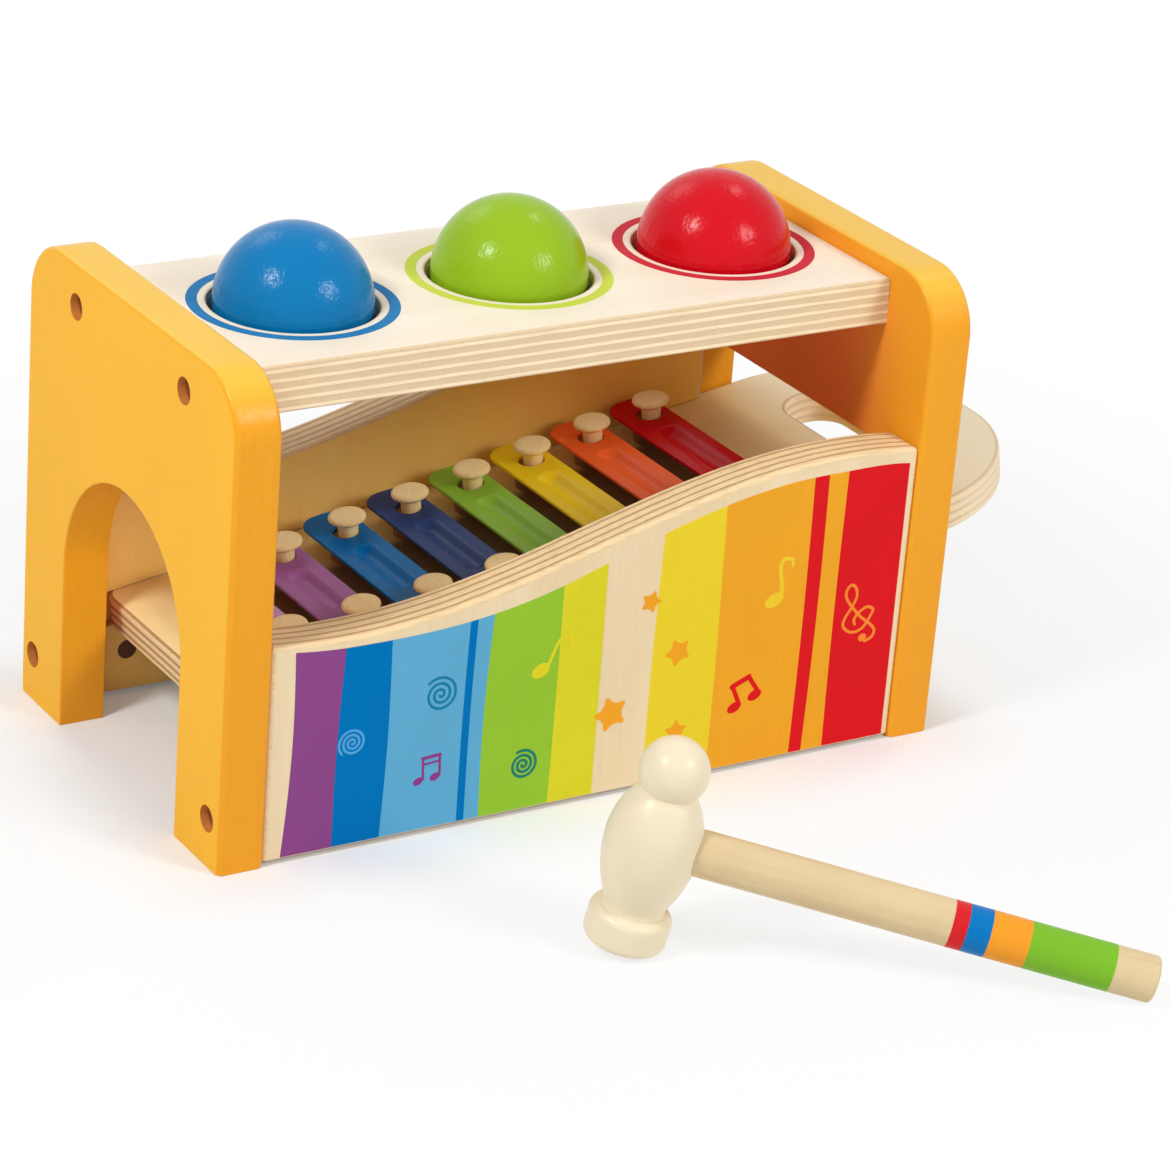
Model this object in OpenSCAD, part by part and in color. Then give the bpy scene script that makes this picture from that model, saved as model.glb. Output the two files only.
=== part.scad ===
// Ball pounding bench with a xylophone tray that slides out, and its hammer.
// X runs along the bench, Y to the rear, Z up. The bench and the hammer stand on Z = 0.
// The origin is the middle of the whole set's footprint, on the floor.

/* [Bench] */
// Length of the bench over both end panels
bench_length = 236; // [220:1:280]
// Depth of the end panels, front to rear
bench_depth = 128.5; // [120:0.5:150]
// Height of the end panels
bench_height = 142.5; // [135:0.5:165]
// Thickness of the plywood in the panels and the top board
board_thickness = 14; // [12:0.5:16]
// Radius of the end panels' upper corners
panel_corner_radius = 18; // [8:0.5:25]
// How far the front and rear panels stand back from the end panels' edges
panel_inset = 0.7; // [0:0.1:3]
// Gap between the floor and the front and rear panels
panel_floor_gap = 1.5; // [1:0.5:6]

/* [Ball exit arch] */
// Width of the arch in the left end panel
arch_width = 74.2; // [60:0.2:84]
// Height at which the arch starts to curve
arch_spring_height = 50.6; // [44:0.2:60]

/* [Top board] */
// Width of the top board, front to rear
top_board_width = 83; // [76:0.5:95]
// Depth of the top board's surface below the end panels' top
top_board_drop = 5.3; // [3:0.1:12]
// Radius of the top board's long edges
top_edge_radius = 0.75; // [0.5:0.25:4]

/* [Balls] */
// Diameter of a ball
ball_diameter = 45; // [44.5:0.5:48]
// Gap round a ball in its hole
ball_hole_gap = 1.5; // [1:0.1:2.5]
// Distance between neighbouring ball holes
ball_pitch = 68.9; // [62:0.1:72]
// Shift of the row of balls to the right of the bench's middle
ball_row_shift = 0.6; // [-3:0.1:3]
// Height of a waiting ball's centre above the top board
ball_rise = 0.2; // [-1:0.1:4]
// Thickness of the rubber ring that holds a ball
ring_thickness = 4; // [3:0.25:6]
// Width of the step that the rubber ring is let into
ring_step = 2.5; // [1.5:0.25:4]
// Gap between a waiting ball and the lip of its ring
ring_gap = 0.3; // [0.1:0.05:0.5]

/* [Wave panels] */
// Lowest height of the wavy edge
wave_low = 64.6; // [60:0.1:70]
// Highest height of the wavy edge
wave_high = 94.1; // [90:0.1:105]
// Distance of the trough of the wave from the bench's left end
wave_low_at = 35.5; // [30:0.1:45]
// Distance along the bench from trough to crest
wave_rise_length = 164; // [150:0.1:175]

/* [Tray] */
// Slope of the tray in degrees, falling to the ball exit
tray_slope = 9.2; // [6:0.1:10]
// Thickness of the tray
tray_thickness = 10.5; // [7:0.5:13]
// Height of the tray's surface at its left end
tray_left_height = 33.3; // [28:0.1:36]
// Gap between the tray's left end and the left end panel
tray_end_gap = 5.2; // [3:0.1:10]
// Depth of the grooves that carry the tray
groove_depth = 4; // [3:0.25:6]
// Clearance round the tray in its grooves and in the end panel's slot
tray_gap = 0.3; // [0.2:0.05:0.6]
// How far the handle reaches past the right end panel
handle_reach = 46.8; // [45:0.1:65]
// Radius of the handle's outer corners
handle_corner_radius = 45; // [20:1:48]
// Radius of the tray's left corners
tray_corner_radius = 8; // [3:0.5:18]
// Width of the finger hole in the handle
finger_hole_width = 19; // [16:0.5:22]
// Length of the finger hole, front to rear
finger_hole_length = 64; // [50:0.5:80]
// Width of wood left outside the finger hole
grip_width = 27; // [24:0.1:32]
// Room over the pegs in the right end panel's slot
slot_headroom = 4.5; // [2:0.1:8]

/* [Bars] */
// Distance from the tray's left end to the middle of the first bar
first_bar_at = 24.4; // [20:0.1:28]
// Distance between neighbouring bars
bar_pitch = 22.1; // [20:0.1:23]
// Width of a bar
bar_width = 16; // [14:0.25:18.5]
// Shift of the bars on their pegs, down the slope
bar_shift = 0.7; // [0:0.1:0.8]
// Shift of the peg holes from the middle of a bar, up the slope
peg_hole_shift = 1.2; // [0:0.1:2]
// Thickness of the bars' metal
bar_thickness = 1.2; // [0.8:0.1:2.5]
// Length of the shortest bar
shortest_bar = 74.6; // [66:0.2:80]
// Length of the longest bar
longest_bar = 97; // [88:0.2:97.5]
// Radius of a bar's corners
bar_corner_radius = 6.5; // [2:0.25:7]
// Width of the pressed trough along a bar
trough_width = 8; // [6:0.1:9]
// Depth of the pressed trough
trough_depth = 1.6; // [1:0.1:2.2]
// Distance from a peg's middle to the start of the trough
trough_end_gap = 9.5; // [9:0.1:11]

/* [Pegs and felts] */
// Distance between the pegs of the shortest bar
shortest_peg_span = 43.4; // [41:0.2:48]
// Distance between the pegs of the longest bar
longest_peg_span = 71.4; // [64:0.2:74]
// Diameter of a peg's head
peg_head_diameter = 11.3; // [9:0.1:12.5]
// Thickness of a peg's head
peg_head_thickness = 2.9; // [2.4:0.1:4]
// Radius of a peg head's rim
peg_rim_radius = 0.8; // [0.5:0.1:1.1]
// Diameter of a peg's stem
peg_stem_diameter = 6; // [5:0.1:7]
// Depth to which a peg is let into the tray
peg_depth = 6.5; // [4:0.5:6.5]
// Gap between a bar and its pegs' heads
peg_head_gap = 3; // [2:0.1:5]
// Gap between a peg's stem and the hole in its bar
peg_hole_gap = 1; // [0.5:0.1:1.4]
// Thickness of the felt washers under the bars
felt_thickness = 6.9; // [4.5:0.1:8]
// Diameter of a felt washer
felt_diameter = 12; // [10:0.5:13.5]

/* [Fasteners] */
// Diameter of a bolt's shank
bolt_diameter = 4; // [3:0.25:4.5]
// Diameter of a bolt's head
bolt_head_diameter = 7; // [6:0.1:9]
// Height of a bolt's head
bolt_head_height = 4; // [3:0.25:5]
// Width across the flats of a bolt's hexagon socket
bolt_socket_width = 3; // [2:0.25:4]
// Gap round a bolt's head in its counterbore
counterbore_gap = 0.4; // [0.2:0.1:1]
// Depth of a bolt's head below the end panel's face
bolt_head_sunk = 2.5; // [1:0.25:4]
// Height of the lower bolts above the floor
lower_bolt_height = 14.2; // [12:0.1:16]
// Distance between the two upper bolts of an end panel
upper_bolt_span = 67; // [56:0.5:70]
// Diameter of a barrel nut
nut_diameter = 6; // [5.5:0.25:7]
// Distance from an end panel to the middle of a barrel nut
nut_setback = 13; // [10:0.5:18]
// Wood left behind a barrel nut in its blind bore
nut_floor = 3; // [2:0.25:5]
// Diameter of a locating dowel
dowel_diameter = 6; // [4:0.25:8]
// Length of a locating dowel
dowel_length = 20; // [14:0.5:24]
// Height of the locating dowels above the floor
dowel_height = 46; // [44:0.5:47]
// Clearance of glued pegs, dowels and nuts in their bores
seat_gap = 0.05; // [0.02:0.01:0.1]

/* [Hammer] */
// Distance of the hammer's head in front of the bench's depth centre
hammer_forward = 144.4; // [125:0.1:180]
// Distance of the hammer's head to the left of the bench's middle
hammer_left = 31.4; // [0:0.1:80]
// Turn of the hammer's handle towards the front, in degrees
hammer_turn = 35.9; // [10:0.1:60]
// Diameter of the ball end of the hammer's head
hammer_ball_diameter = 19; // [17:0.25:21]
// Height of the ball end's centre above the handle's axis
hammer_ball_height = 21.2; // [20:0.1:22.5]
// Diameter of the hammer head's belly
hammer_belly_diameter = 26.2; // [25:0.2:30]
// Radius of the belly's curve above the handle
belly_upper_curve = 24; // [21:0.5:27]
// Radius of the belly's curve below the handle
belly_lower_curve = 40; // [36:0.5:46]
// Diameter of the waist above the striking disc
hammer_waist_diameter = 17; // [14:0.2:18]
// Diameter of the striking disc
hammer_disc_diameter = 22.8; // [20:0.2:26]
// Thickness of the striking disc
hammer_disc_thickness = 10.5; // [8:0.1:11.5]
// Radius of the striking disc's edges
hammer_disc_edge = 2.5; // [1:0.1:3.5]
// Depth of the striking face below the handle's axis
hammer_disc_depth = 31; // [30.5:0.1:34]
// Diameter of the handle
handle_diameter = 13; // [11:0.1:14]
// Length of the handle from the head's axis to its end
handle_length = 138.2; // [120:0.2:160]
// Chamfer at the handle's end
handle_chamfer = 1; // [0.5:0.1:2]

/* [Hidden] */
$fn = 64;

// Overlap of a cut past the face it opens
cut_over = 1;
bar_count = 8;
wave_steps = 56;
tray_colour = "#ecd9b4";
ply_colour = "#efdcb6";
paint_colour = "#f7b734";
steel_colour = "#b9bcc0";
turned_colour = "#e2c797";

// Bench
half_length = bench_length / 2;
half_depth = bench_depth / 2;
inner_half_length = half_length - board_thickness;
panel_outer_y = half_depth - panel_inset;
panel_inner_y = panel_outer_y - board_thickness;
panel_middle_y = panel_outer_y - board_thickness / 2;
board_top = bench_height - top_board_drop;
board_bottom = board_top - board_thickness;
board_middle = (board_top + board_bottom) / 2;

// Balls and their rings
ball_radius = ball_diameter / 2;
ball_hole_radius = ball_radius + ball_hole_gap;
ball_centre_z = board_top + ball_rise;
ring_top = board_bottom + ring_thickness;
ring_lip_radius = sqrt(pow(ball_radius, 2) - pow(ball_centre_z - ring_top, 2)) + ring_gap;
ring_outer_radius = ball_hole_radius + ring_step;
function ball_x(i) = i * ball_pitch + ball_row_shift;

// Tray, measured along its own slope from its left end
tray_left_x = -inner_half_length + tray_end_gap;
tray_half_width = panel_inner_y + groove_depth - tray_gap;
tray_length = (half_length + handle_reach - tray_left_x) / cos(tray_slope);
finger_hole_at = tray_length - grip_width - finger_hole_width / 2;
bar_seat = felt_thickness + seat_gap;
bar_top = bar_seat + bar_thickness;
peg_head_base = bar_top + peg_head_gap;
peg_top = peg_head_base + peg_head_thickness;
stem_radius = peg_stem_diameter / 2;

function tray_surface(x) = tray_left_height + (x - tray_left_x) * tan(tray_slope);
slot_bottom = tray_surface(inner_half_length) - (tray_thickness + tray_gap) / cos(tray_slope);
slot_top = tray_surface(half_length) + peg_top / cos(tray_slope) + slot_headroom;

// Bars, from the shortest at the ball exit to the longest at the handle
function share(i) = i / (bar_count - 1);
function bar_at(i) = first_bar_at + i * bar_pitch;
function bar_length(i) = shortest_bar + (longest_bar - shortest_bar) * share(i);
function peg_offset(i) = (shortest_peg_span + (longest_peg_span - shortest_peg_span) * share(i)) / 2;
trough_radius = (pow(trough_width / 2, 2) + pow(trough_depth, 2)) / (2 * trough_depth);

// Bolts, nuts and dowels
counterbore_radius = bolt_head_diameter / 2 + counterbore_gap;
counterbore_depth = bolt_head_sunk + bolt_head_height;
bolt_radius = bolt_diameter / 2;
nut_radius = nut_diameter / 2;
nut_length = board_thickness - nut_floor;
nut_x = inner_half_length - nut_setback;
bolt_tip_x = nut_x - nut_radius;
bolt_length = half_length - counterbore_depth - bolt_tip_x;
dowel_radius = dowel_diameter / 2;
upper_bolt_y = upper_bolt_span / 2;

// Hammer: it stands on the rim of its striking disc and on the end of its handle
belly_radius = hammer_belly_diameter / 2;
waist_radius = hammer_waist_diameter / 2;
disc_radius = hammer_disc_diameter / 2;
grip_radius = handle_diameter / 2;
rim_x = disc_radius - hammer_disc_edge;
rim_z = hammer_disc_depth - hammer_disc_edge;
lean_rise = rim_z - grip_radius;
lean_run = handle_length - handle_chamfer - rim_x;
hammer_lean = atan2(lean_rise, lean_run)
    + asin(hammer_disc_edge / sqrt(pow(lean_rise, 2) + pow(lean_run, 2)));
hammer_axis_z = rim_z * cos(hammer_lean) + rim_x * sin(hammer_lean) + hammer_disc_edge;

// Middle of the whole set's footprint
function handle_reach_y(along, radius) = -hammer_forward
    - along * cos(hammer_lean) * sin(hammer_turn)
    - radius * sqrt(1 - pow(cos(hammer_lean) * sin(hammer_turn), 2));
set_front_y = min(
    handle_reach_y(handle_length - handle_chamfer, grip_radius),
    handle_reach_y(handle_length, grip_radius - handle_chamfer)
);
set_right_x = tray_left_x + tray_length * cos(tray_slope) + tray_thickness * sin(tray_slope);
origin_x = (set_right_x - half_length) / 2;
origin_y = (set_front_y + half_depth) / 2;

module on_floor() {
    translate([-origin_x, -origin_y, 0]) children();
}

module on_tray() {
    on_floor()
        translate([tray_left_x, 0, tray_left_height])
            rotate([0, -tray_slope, 0])
                children();
}

module at_hammer() {
    on_floor()
        translate([-hammer_left, -hammer_forward, hammer_axis_z])
            rotate([0, hammer_lean, -hammer_turn])
                children();
}

// Rectangle with four round corners, centred
module round_rectangle(width, length, radius) {
    square([width - 2 * radius, length], center = true);
    square([width, length - 2 * radius], center = true);
    for (x = [-1, 1], y = [-1, 1])
        translate([x * (width / 2 - radius), y * (length / 2 - radius)])
            circle(radius);
}

// Puts a flat outline of Y and Z on edge and gives it thickness along X
module upright(from_x, thickness) {
    translate([from_x, 0, 0])
        rotate([90, 0, 90])
            linear_extrude(thickness)
                children();
}

module end_outline() {
    corner_y = half_depth - panel_corner_radius;
    shoulder = bench_height - panel_corner_radius;
    translate([-half_depth, 0]) square([bench_depth, shoulder]);
    translate([-corner_y, 0]) square([2 * corner_y, bench_height]);
    for (y = [-corner_y, corner_y])
        translate([y, shoulder]) circle(panel_corner_radius);
}

// Places children at the four bolts of the right end panel, along X
module at_right_bolts() {
    for (y = [-1, 1]) {
        translate([0, y * upper_bolt_y, board_middle]) children();
        translate([0, y * panel_middle_y, lower_bolt_height]) children();
    }
}

// Bores of the right end panel: counterbored bolt holes and dowel sockets
module right_panel_bores() {
    at_right_bolts() {
        translate([half_length - counterbore_depth, 0, 0])
            rotate([0, 90, 0])
                cylinder(r = counterbore_radius, h = counterbore_depth + cut_over);
        translate([inner_half_length - cut_over, 0, 0])
            rotate([0, 90, 0])
                cylinder(r = bolt_radius + seat_gap, h = board_thickness + cut_over);
    }
    dowel_bores();
}

// Sockets of the right-hand dowels, half in the end panel and half in the long panels
module dowel_bores() {
    for (y = [-1, 1])
        translate([inner_half_length - dowel_length / 2 - seat_gap, y * panel_middle_y, dowel_height])
            rotate([0, 90, 0])
                cylinder(r = dowel_radius + seat_gap, h = dowel_length + 2 * seat_gap);
}

// Bores of the right-hand bolts in the pieces between the end panels
module bolt_tip_bore() {
    translate([bolt_tip_x - seat_gap, 0, 0])
        rotate([0, 90, 0])
            cylinder(r = bolt_radius + seat_gap, h = inner_half_length - bolt_tip_x + cut_over);
}

module left_end_panel() {
    color(paint_colour) on_floor() difference() {
        upright(-half_length, board_thickness) difference() {
            end_outline();
            translate([-arch_width / 2, -cut_over])
                square([arch_width, arch_spring_height + cut_over]);
            translate([0, arch_spring_height]) circle(arch_width / 2);
        }
        mirror([1, 0, 0]) right_panel_bores();
    }
}

module right_end_panel() {
    slot_half = tray_half_width + tray_gap;
    color(paint_colour) on_floor() difference() {
        upright(inner_half_length, board_thickness) difference() {
            end_outline();
            translate([-slot_half, slot_bottom])
                square([2 * slot_half, slot_top - slot_bottom]);
        }
        right_panel_bores();
    }
}

module top_board() {
    color(ply_colour) on_floor() difference() {
        translate([0, 0, board_middle])
            upright(-inner_half_length, 2 * inner_half_length)
                round_rectangle(top_board_width, board_thickness, top_edge_radius);
        for (i = [-1, 0, 1]) translate([ball_x(i), 0, board_bottom]) {
            translate([0, 0, -cut_over])
                cylinder(r = ball_hole_radius, h = board_thickness + 2 * cut_over);
            translate([0, 0, -cut_over])
                cylinder(r = ring_outer_radius, h = ring_thickness + cut_over);
        }
        for (side = [0, 1]) mirror([side, 0, 0])
            for (y = [-1, 1]) translate([0, y * upper_bolt_y, 0]) {
                translate([0, 0, board_middle]) bolt_tip_bore();
                translate([nut_x, 0, board_bottom - cut_over])
                    cylinder(r = nut_radius + seat_gap, h = nut_length + cut_over);
            }
    }
}

function wave_height(x) = (wave_low + wave_high) / 2
    - (wave_high - wave_low) / 2 * cos(180 * (x + half_length - wave_low_at) / wave_rise_length);

// Outline of a long panel: flat below, waved above
module wave_outline() {
    edge = [
        for (i = [0 : wave_steps])
            let (x = inner_half_length * (1 - 2 * i / wave_steps))
                [x, wave_height(x)]
    ];
    polygon(concat(
        [[-inner_half_length, panel_floor_gap], [inner_half_length, panel_floor_gap]],
        edge
    ));
}

// Long panel in the rear position, with the groove for the tray on its inner face
module long_panel() {
    difference() {
        translate([0, panel_outer_y, 0])
            rotate([90, 0, 0])
                linear_extrude(board_thickness) wave_outline();
        translate([tray_left_x, 0, tray_left_height])
            rotate([0, -tray_slope, 0])
                translate([-tray_length, 0, -tray_thickness - tray_gap])
                    cube([
                        3 * tray_length,
                        panel_inner_y + groove_depth,
                        tray_thickness + 2 * tray_gap
                    ]);
        for (side = [0, 1]) mirror([side, 0, 0]) {
            translate([0, panel_middle_y, lower_bolt_height]) bolt_tip_bore();
            translate([nut_x, panel_inner_y - cut_over, lower_bolt_height])
                rotate([-90, 0, 0])
                    cylinder(r = nut_radius + seat_gap, h = nut_length + cut_over);
            dowel_bores();
        }
    }
}

module front_panel() {
    color(ply_colour) on_floor() mirror([0, 1, 0]) long_panel();
}

module rear_panel() {
    color(ply_colour) on_floor() long_panel();
}

// Rubber ring let into the underside of the top board
module ball_ring(i) {
    color("#3a3733") on_floor()
        translate([ball_x(i), 0, board_bottom])
            difference() {
                cylinder(r = ring_outer_radius - seat_gap, h = ring_thickness - seat_gap);
                translate([0, 0, -cut_over])
                    cylinder(r = ring_lip_radius, h = ring_thickness + 2 * cut_over);
            }
}

module left_ball_ring() {
    ball_ring(-1);
}

module middle_ball_ring() {
    ball_ring(0);
}

module right_ball_ring() {
    ball_ring(1);
}

module ball(i, colour) {
    color(colour) on_floor()
        translate([ball_x(i), 0, ball_centre_z])
            sphere(ball_radius, $fn = 96);
}

module blue_ball() {
    ball(-1, "#0076bc");
}

module green_ball() {
    ball(0, "#96c82f");
}

module red_ball() {
    ball(1, "#de1f26");
}

module tray_outline() {
    round_end = tray_length - handle_corner_radius;
    left_half = tray_half_width - tray_corner_radius;
    right_half = tray_half_width - handle_corner_radius;
    translate([tray_corner_radius, -tray_half_width])
        square([round_end - tray_corner_radius, 2 * tray_half_width]);
    translate([0, -left_half]) square([round_end, 2 * left_half]);
    translate([round_end - cut_over, -right_half])
        square([handle_corner_radius + cut_over, 2 * right_half]);
    for (y = [-1, 1]) {
        translate([tray_corner_radius, y * left_half]) circle(tray_corner_radius);
        translate([round_end, y * right_half]) circle(handle_corner_radius);
    }
}

module finger_hole() {
    end_y = (finger_hole_length - finger_hole_width) / 2;
    square([finger_hole_width, 2 * end_y], center = true);
    for (y = [-end_y, end_y])
        translate([0, y]) circle(finger_hole_width / 2);
}

module xylophone_tray() {
    color(tray_colour) on_tray() difference() {
        translate([0, 0, -tray_thickness]) linear_extrude(tray_thickness) difference() {
            tray_outline();
            translate([finger_hole_at, 0]) finger_hole();
        }
        for (i = [0 : bar_count - 1], y = [-1, 1])
            translate([bar_at(i), y * peg_offset(i), -peg_depth - seat_gap])
                cylinder(r = stem_radius + seat_gap, h = peg_depth + seat_gap + cut_over);
    }
}

// Long round-ended solid along Y
module capsule(radius, half_run) {
    rotate([90, 0, 0]) cylinder(r = radius, h = 2 * half_run, center = true);
    for (y = [-half_run, half_run])
        translate([0, y, 0]) sphere(radius);
}

// Pressed metal bar: a strip with round corners, a long trough and two peg holes
module metal_bar(i, colour) {
    half_run = peg_offset(i) - trough_end_gap - trough_width / 2;
    axis_z = trough_radius - trough_depth;
    strip_top = bar_thickness;
    bar_middle = bar_at(i) - bar_shift - peg_hole_shift;
    color(colour) on_tray() translate([bar_middle, 0, bar_seat]) difference() {
        union() {
            linear_extrude(bar_thickness)
                round_rectangle(bar_width, bar_length(i), bar_corner_radius);
            intersection() {
                translate([0, 0, strip_top + axis_z])
                    capsule(trough_radius + bar_thickness, half_run);
                translate([-bar_width / 2, -bar_length(i) / 2, -bar_seat])
                    cube([bar_width, bar_length(i), bar_seat + bar_thickness / 2]);
            }
        }
        translate([0, 0, strip_top + axis_z]) capsule(trough_radius, half_run);
        for (y = [-1, 1])
            translate([peg_hole_shift, y * peg_offset(i), -cut_over])
                cylinder(r = stem_radius + peg_hole_gap, h = bar_thickness + 2 * cut_over);
    }
}

module lilac_bar() {
    metal_bar(0, "#be78b4");
}

module purple_bar() {
    metal_bar(1, "#9b559b");
}

module blue_bar() {
    metal_bar(2, "#1469b4");
}

module navy_bar() {
    metal_bar(3, "#324b87");
}

module green_bar() {
    metal_bar(4, "#5faf4b");
}

module yellow_bar() {
    metal_bar(5, "#cdbe32");
}

module orange_bar() {
    metal_bar(6, "#e65f2d");
}

module red_bar() {
    metal_bar(7, "#af1428");
}

module peg_outline() {
    rim = peg_rim_radius;
    head_radius = peg_head_diameter / 2;
    translate([0, -peg_depth]) square([stem_radius, peg_depth + peg_top - rim]);
    translate([0, peg_head_base]) {
        square([head_radius - rim, peg_head_thickness]);
        translate([0, rim]) square([head_radius, peg_head_thickness - 2 * rim]);
        for (z = [rim, peg_head_thickness - rim])
            translate([head_radius - rim, z]) circle(rim);
    }
}

module peg_row(side) {
    color(turned_colour) on_tray()
        for (i = [0 : bar_count - 1])
            translate([bar_at(i), side * peg_offset(i), 0])
                rotate_extrude() peg_outline();
}

module front_pegs() {
    peg_row(-1);
}

module rear_pegs() {
    peg_row(1);
}

module felt_row(side) {
    color("#5b4a3f") on_tray()
        for (i = [0 : bar_count - 1])
            translate([bar_at(i), side * peg_offset(i), 0])
                difference() {
                    cylinder(d = felt_diameter, h = felt_thickness);
                    translate([0, 0, -cut_over])
                        cylinder(r = stem_radius + seat_gap, h = felt_thickness + 2 * cut_over);
                }
}

module front_felts() {
    felt_row(-1);
}

module rear_felts() {
    felt_row(1);
}

// Bolt of the right end panel, its head sunk in the counterbore
module bolt() {
    translate([half_length - counterbore_depth, 0, 0]) rotate([0, 90, 0]) difference() {
        union() {
            cylinder(d = bolt_head_diameter, h = bolt_head_height);
            translate([0, 0, -bolt_length]) cylinder(r = bolt_radius, h = bolt_length + cut_over);
        }
        translate([0, 0, bolt_head_height / 2])
            cylinder(d = bolt_socket_width / cos(30), h = bolt_head_height, $fn = 6);
    }
}

module left_bolts() {
    color(steel_colour) on_floor() mirror([1, 0, 0]) at_right_bolts() bolt();
}

module right_bolts() {
    color(steel_colour) on_floor() at_right_bolts() bolt();
}

// Barrel nut standing on Z, with its cross hole for the bolt at the given height
module barrel_nut(cross_height) {
    difference() {
        cylinder(r = nut_radius, h = nut_length - seat_gap);
        translate([0, 0, cross_height])
            rotate([0, 90, 0])
                cylinder(r = bolt_radius + seat_gap, h = nut_diameter + 2 * cut_over, center = true);
    }
}

module barrel_nuts() {
    color(steel_colour) on_floor()
        for (side = [0, 1], y = [0, 1]) mirror([side, 0, 0]) mirror([0, y, 0]) {
            translate([nut_x, upper_bolt_y, board_bottom])
                barrel_nut(board_thickness / 2);
            translate([nut_x, panel_inner_y, lower_bolt_height])
                rotate([-90, 0, 0]) barrel_nut(board_thickness / 2);
        }
}

module locating_dowels() {
    color(turned_colour) on_floor()
        for (side = [0, 1], y = [-1, 1]) mirror([side, 0, 0])
            translate([inner_half_length, y * panel_middle_y, dowel_height])
                rotate([0, 90, 0])
                    cylinder(r = dowel_radius, h = dowel_length, center = true);
}

// Half outline of the turned head, its axis upright and the handle's axis at 0
module hammer_outline() {
    edge = hammer_disc_edge;
    upper_centre = belly_radius - belly_upper_curve;
    lower_centre = belly_radius - belly_lower_curve;
    disc_bottom = -hammer_disc_depth;
    disc_top = disc_bottom + hammer_disc_thickness;
    intersection() {
        translate([0, hammer_ball_height]) circle(hammer_ball_diameter / 2);
        square([belly_radius, hammer_disc_depth * 2]);
    }
    intersection() {
        translate([upper_centre, 0]) circle(belly_upper_curve);
        square([belly_radius, hammer_ball_height]);
    }
    intersection() {
        translate([lower_centre, 0]) circle(belly_lower_curve);
        translate([0, disc_top]) square([belly_radius, -disc_top]);
    }
    translate([0, disc_top - edge]) square([waist_radius, edge * 2]);
    translate([0, disc_bottom]) square([disc_radius - edge, hammer_disc_thickness]);
    translate([0, disc_bottom + edge]) square([disc_radius, hammer_disc_thickness - 2 * edge]);
    for (z = [disc_bottom + edge, disc_top - edge])
        translate([disc_radius - edge, z]) circle(edge);
}

module hammer_head() {
    color("#f3e6c8") at_hammer() difference() {
        rotate_extrude($fn = 96) hammer_outline();
        translate([-seat_gap, 0, 0])
            rotate([0, 90, 0])
                cylinder(r = grip_radius + seat_gap, h = hammer_belly_diameter);
    }
}

module hammer_handle() {
    straight = handle_length - handle_chamfer;
    color("#e1cda5") at_hammer() rotate([0, 90, 0]) {
        cylinder(r = grip_radius, h = straight);
        translate([0, 0, straight])
            cylinder(r1 = grip_radius, r2 = grip_radius - handle_chamfer, h = handle_chamfer);
    }
}

left_end_panel();
right_end_panel();
top_board();
front_panel();
rear_panel();
left_ball_ring();
middle_ball_ring();
right_ball_ring();
blue_ball();
green_ball();
red_ball();
xylophone_tray();
lilac_bar();
purple_bar();
blue_bar();
navy_bar();
green_bar();
yellow_bar();
orange_bar();
red_bar();
front_pegs();
rear_pegs();
front_felts();
rear_felts();
left_bolts();
right_bolts();
barrel_nuts();
locating_dowels();
hammer_head();
hammer_handle();
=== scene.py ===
"""Looks of a ball pounding bench with a xylophone tray and a hammer."""

import math

import bmesh
import bpy
from mathutils import Matrix, Vector
from mathutils.geometry import tessellate_polygon


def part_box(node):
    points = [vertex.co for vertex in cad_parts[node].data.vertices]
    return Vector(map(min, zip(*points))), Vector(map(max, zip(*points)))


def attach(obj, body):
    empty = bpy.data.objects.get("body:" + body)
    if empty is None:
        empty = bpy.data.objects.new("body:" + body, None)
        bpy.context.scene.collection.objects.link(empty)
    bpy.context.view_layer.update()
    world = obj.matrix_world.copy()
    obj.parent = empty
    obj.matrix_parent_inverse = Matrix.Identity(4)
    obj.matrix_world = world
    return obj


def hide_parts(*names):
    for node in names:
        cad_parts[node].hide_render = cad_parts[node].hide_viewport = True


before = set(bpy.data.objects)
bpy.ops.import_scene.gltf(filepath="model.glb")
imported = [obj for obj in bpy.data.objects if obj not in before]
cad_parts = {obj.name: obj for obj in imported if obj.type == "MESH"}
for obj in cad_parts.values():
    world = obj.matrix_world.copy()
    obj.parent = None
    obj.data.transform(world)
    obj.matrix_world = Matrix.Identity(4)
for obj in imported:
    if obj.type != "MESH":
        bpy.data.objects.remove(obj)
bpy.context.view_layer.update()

MM = 0.001
STAY = Matrix.Identity(4)
UPRIGHT = Matrix.Rotation(-math.pi / 2, 4, "Y")

# The bench's own corner: left end panel's outer face, its front edge, the table
BENCH_CORNER = Vector((*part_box("left_end_panel")[0].xy, 0.0))


def own_mm(point):
    """Point of the part's frame in the bench's own millimetres."""
    return (point - BENCH_CORNER) / MM


def box_mm(node):
    """Lowest and highest corner of a fixed node, in the bench's own millimetres."""
    return [own_mm(corner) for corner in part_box(node)]


# Sizes of the bench
BOARD = box_mm("left_end_panel")[1].x
BENCH_DEPTH = box_mm("left_end_panel")[1].y
BENCH_MIDDLE_Y = BENCH_DEPTH / 2
BENCH_LENGTH = box_mm("right_end_panel")[1].x
BOARD_TOP = box_mm("top_board")[1].z
PANEL_FRONT_Y, PANEL_REAR_Y = (box_mm(node)[0].y for node in ("front_panel", "rear_panel"))
PANEL_FOOT = box_mm("front_panel")[0].z

# Eased edges, and the pitch of the plies
END_EDGE, BOARD_EDGE, LONG_EDGE, TRAY_EDGE = 1.6, 0.7, 1.3, 1.2
BOARD_EASED_DEPTH = 3.0
PANEL_PLY, BOARD_PLY, TRAY_PLY = 3.1, 2.8, 2.7

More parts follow.
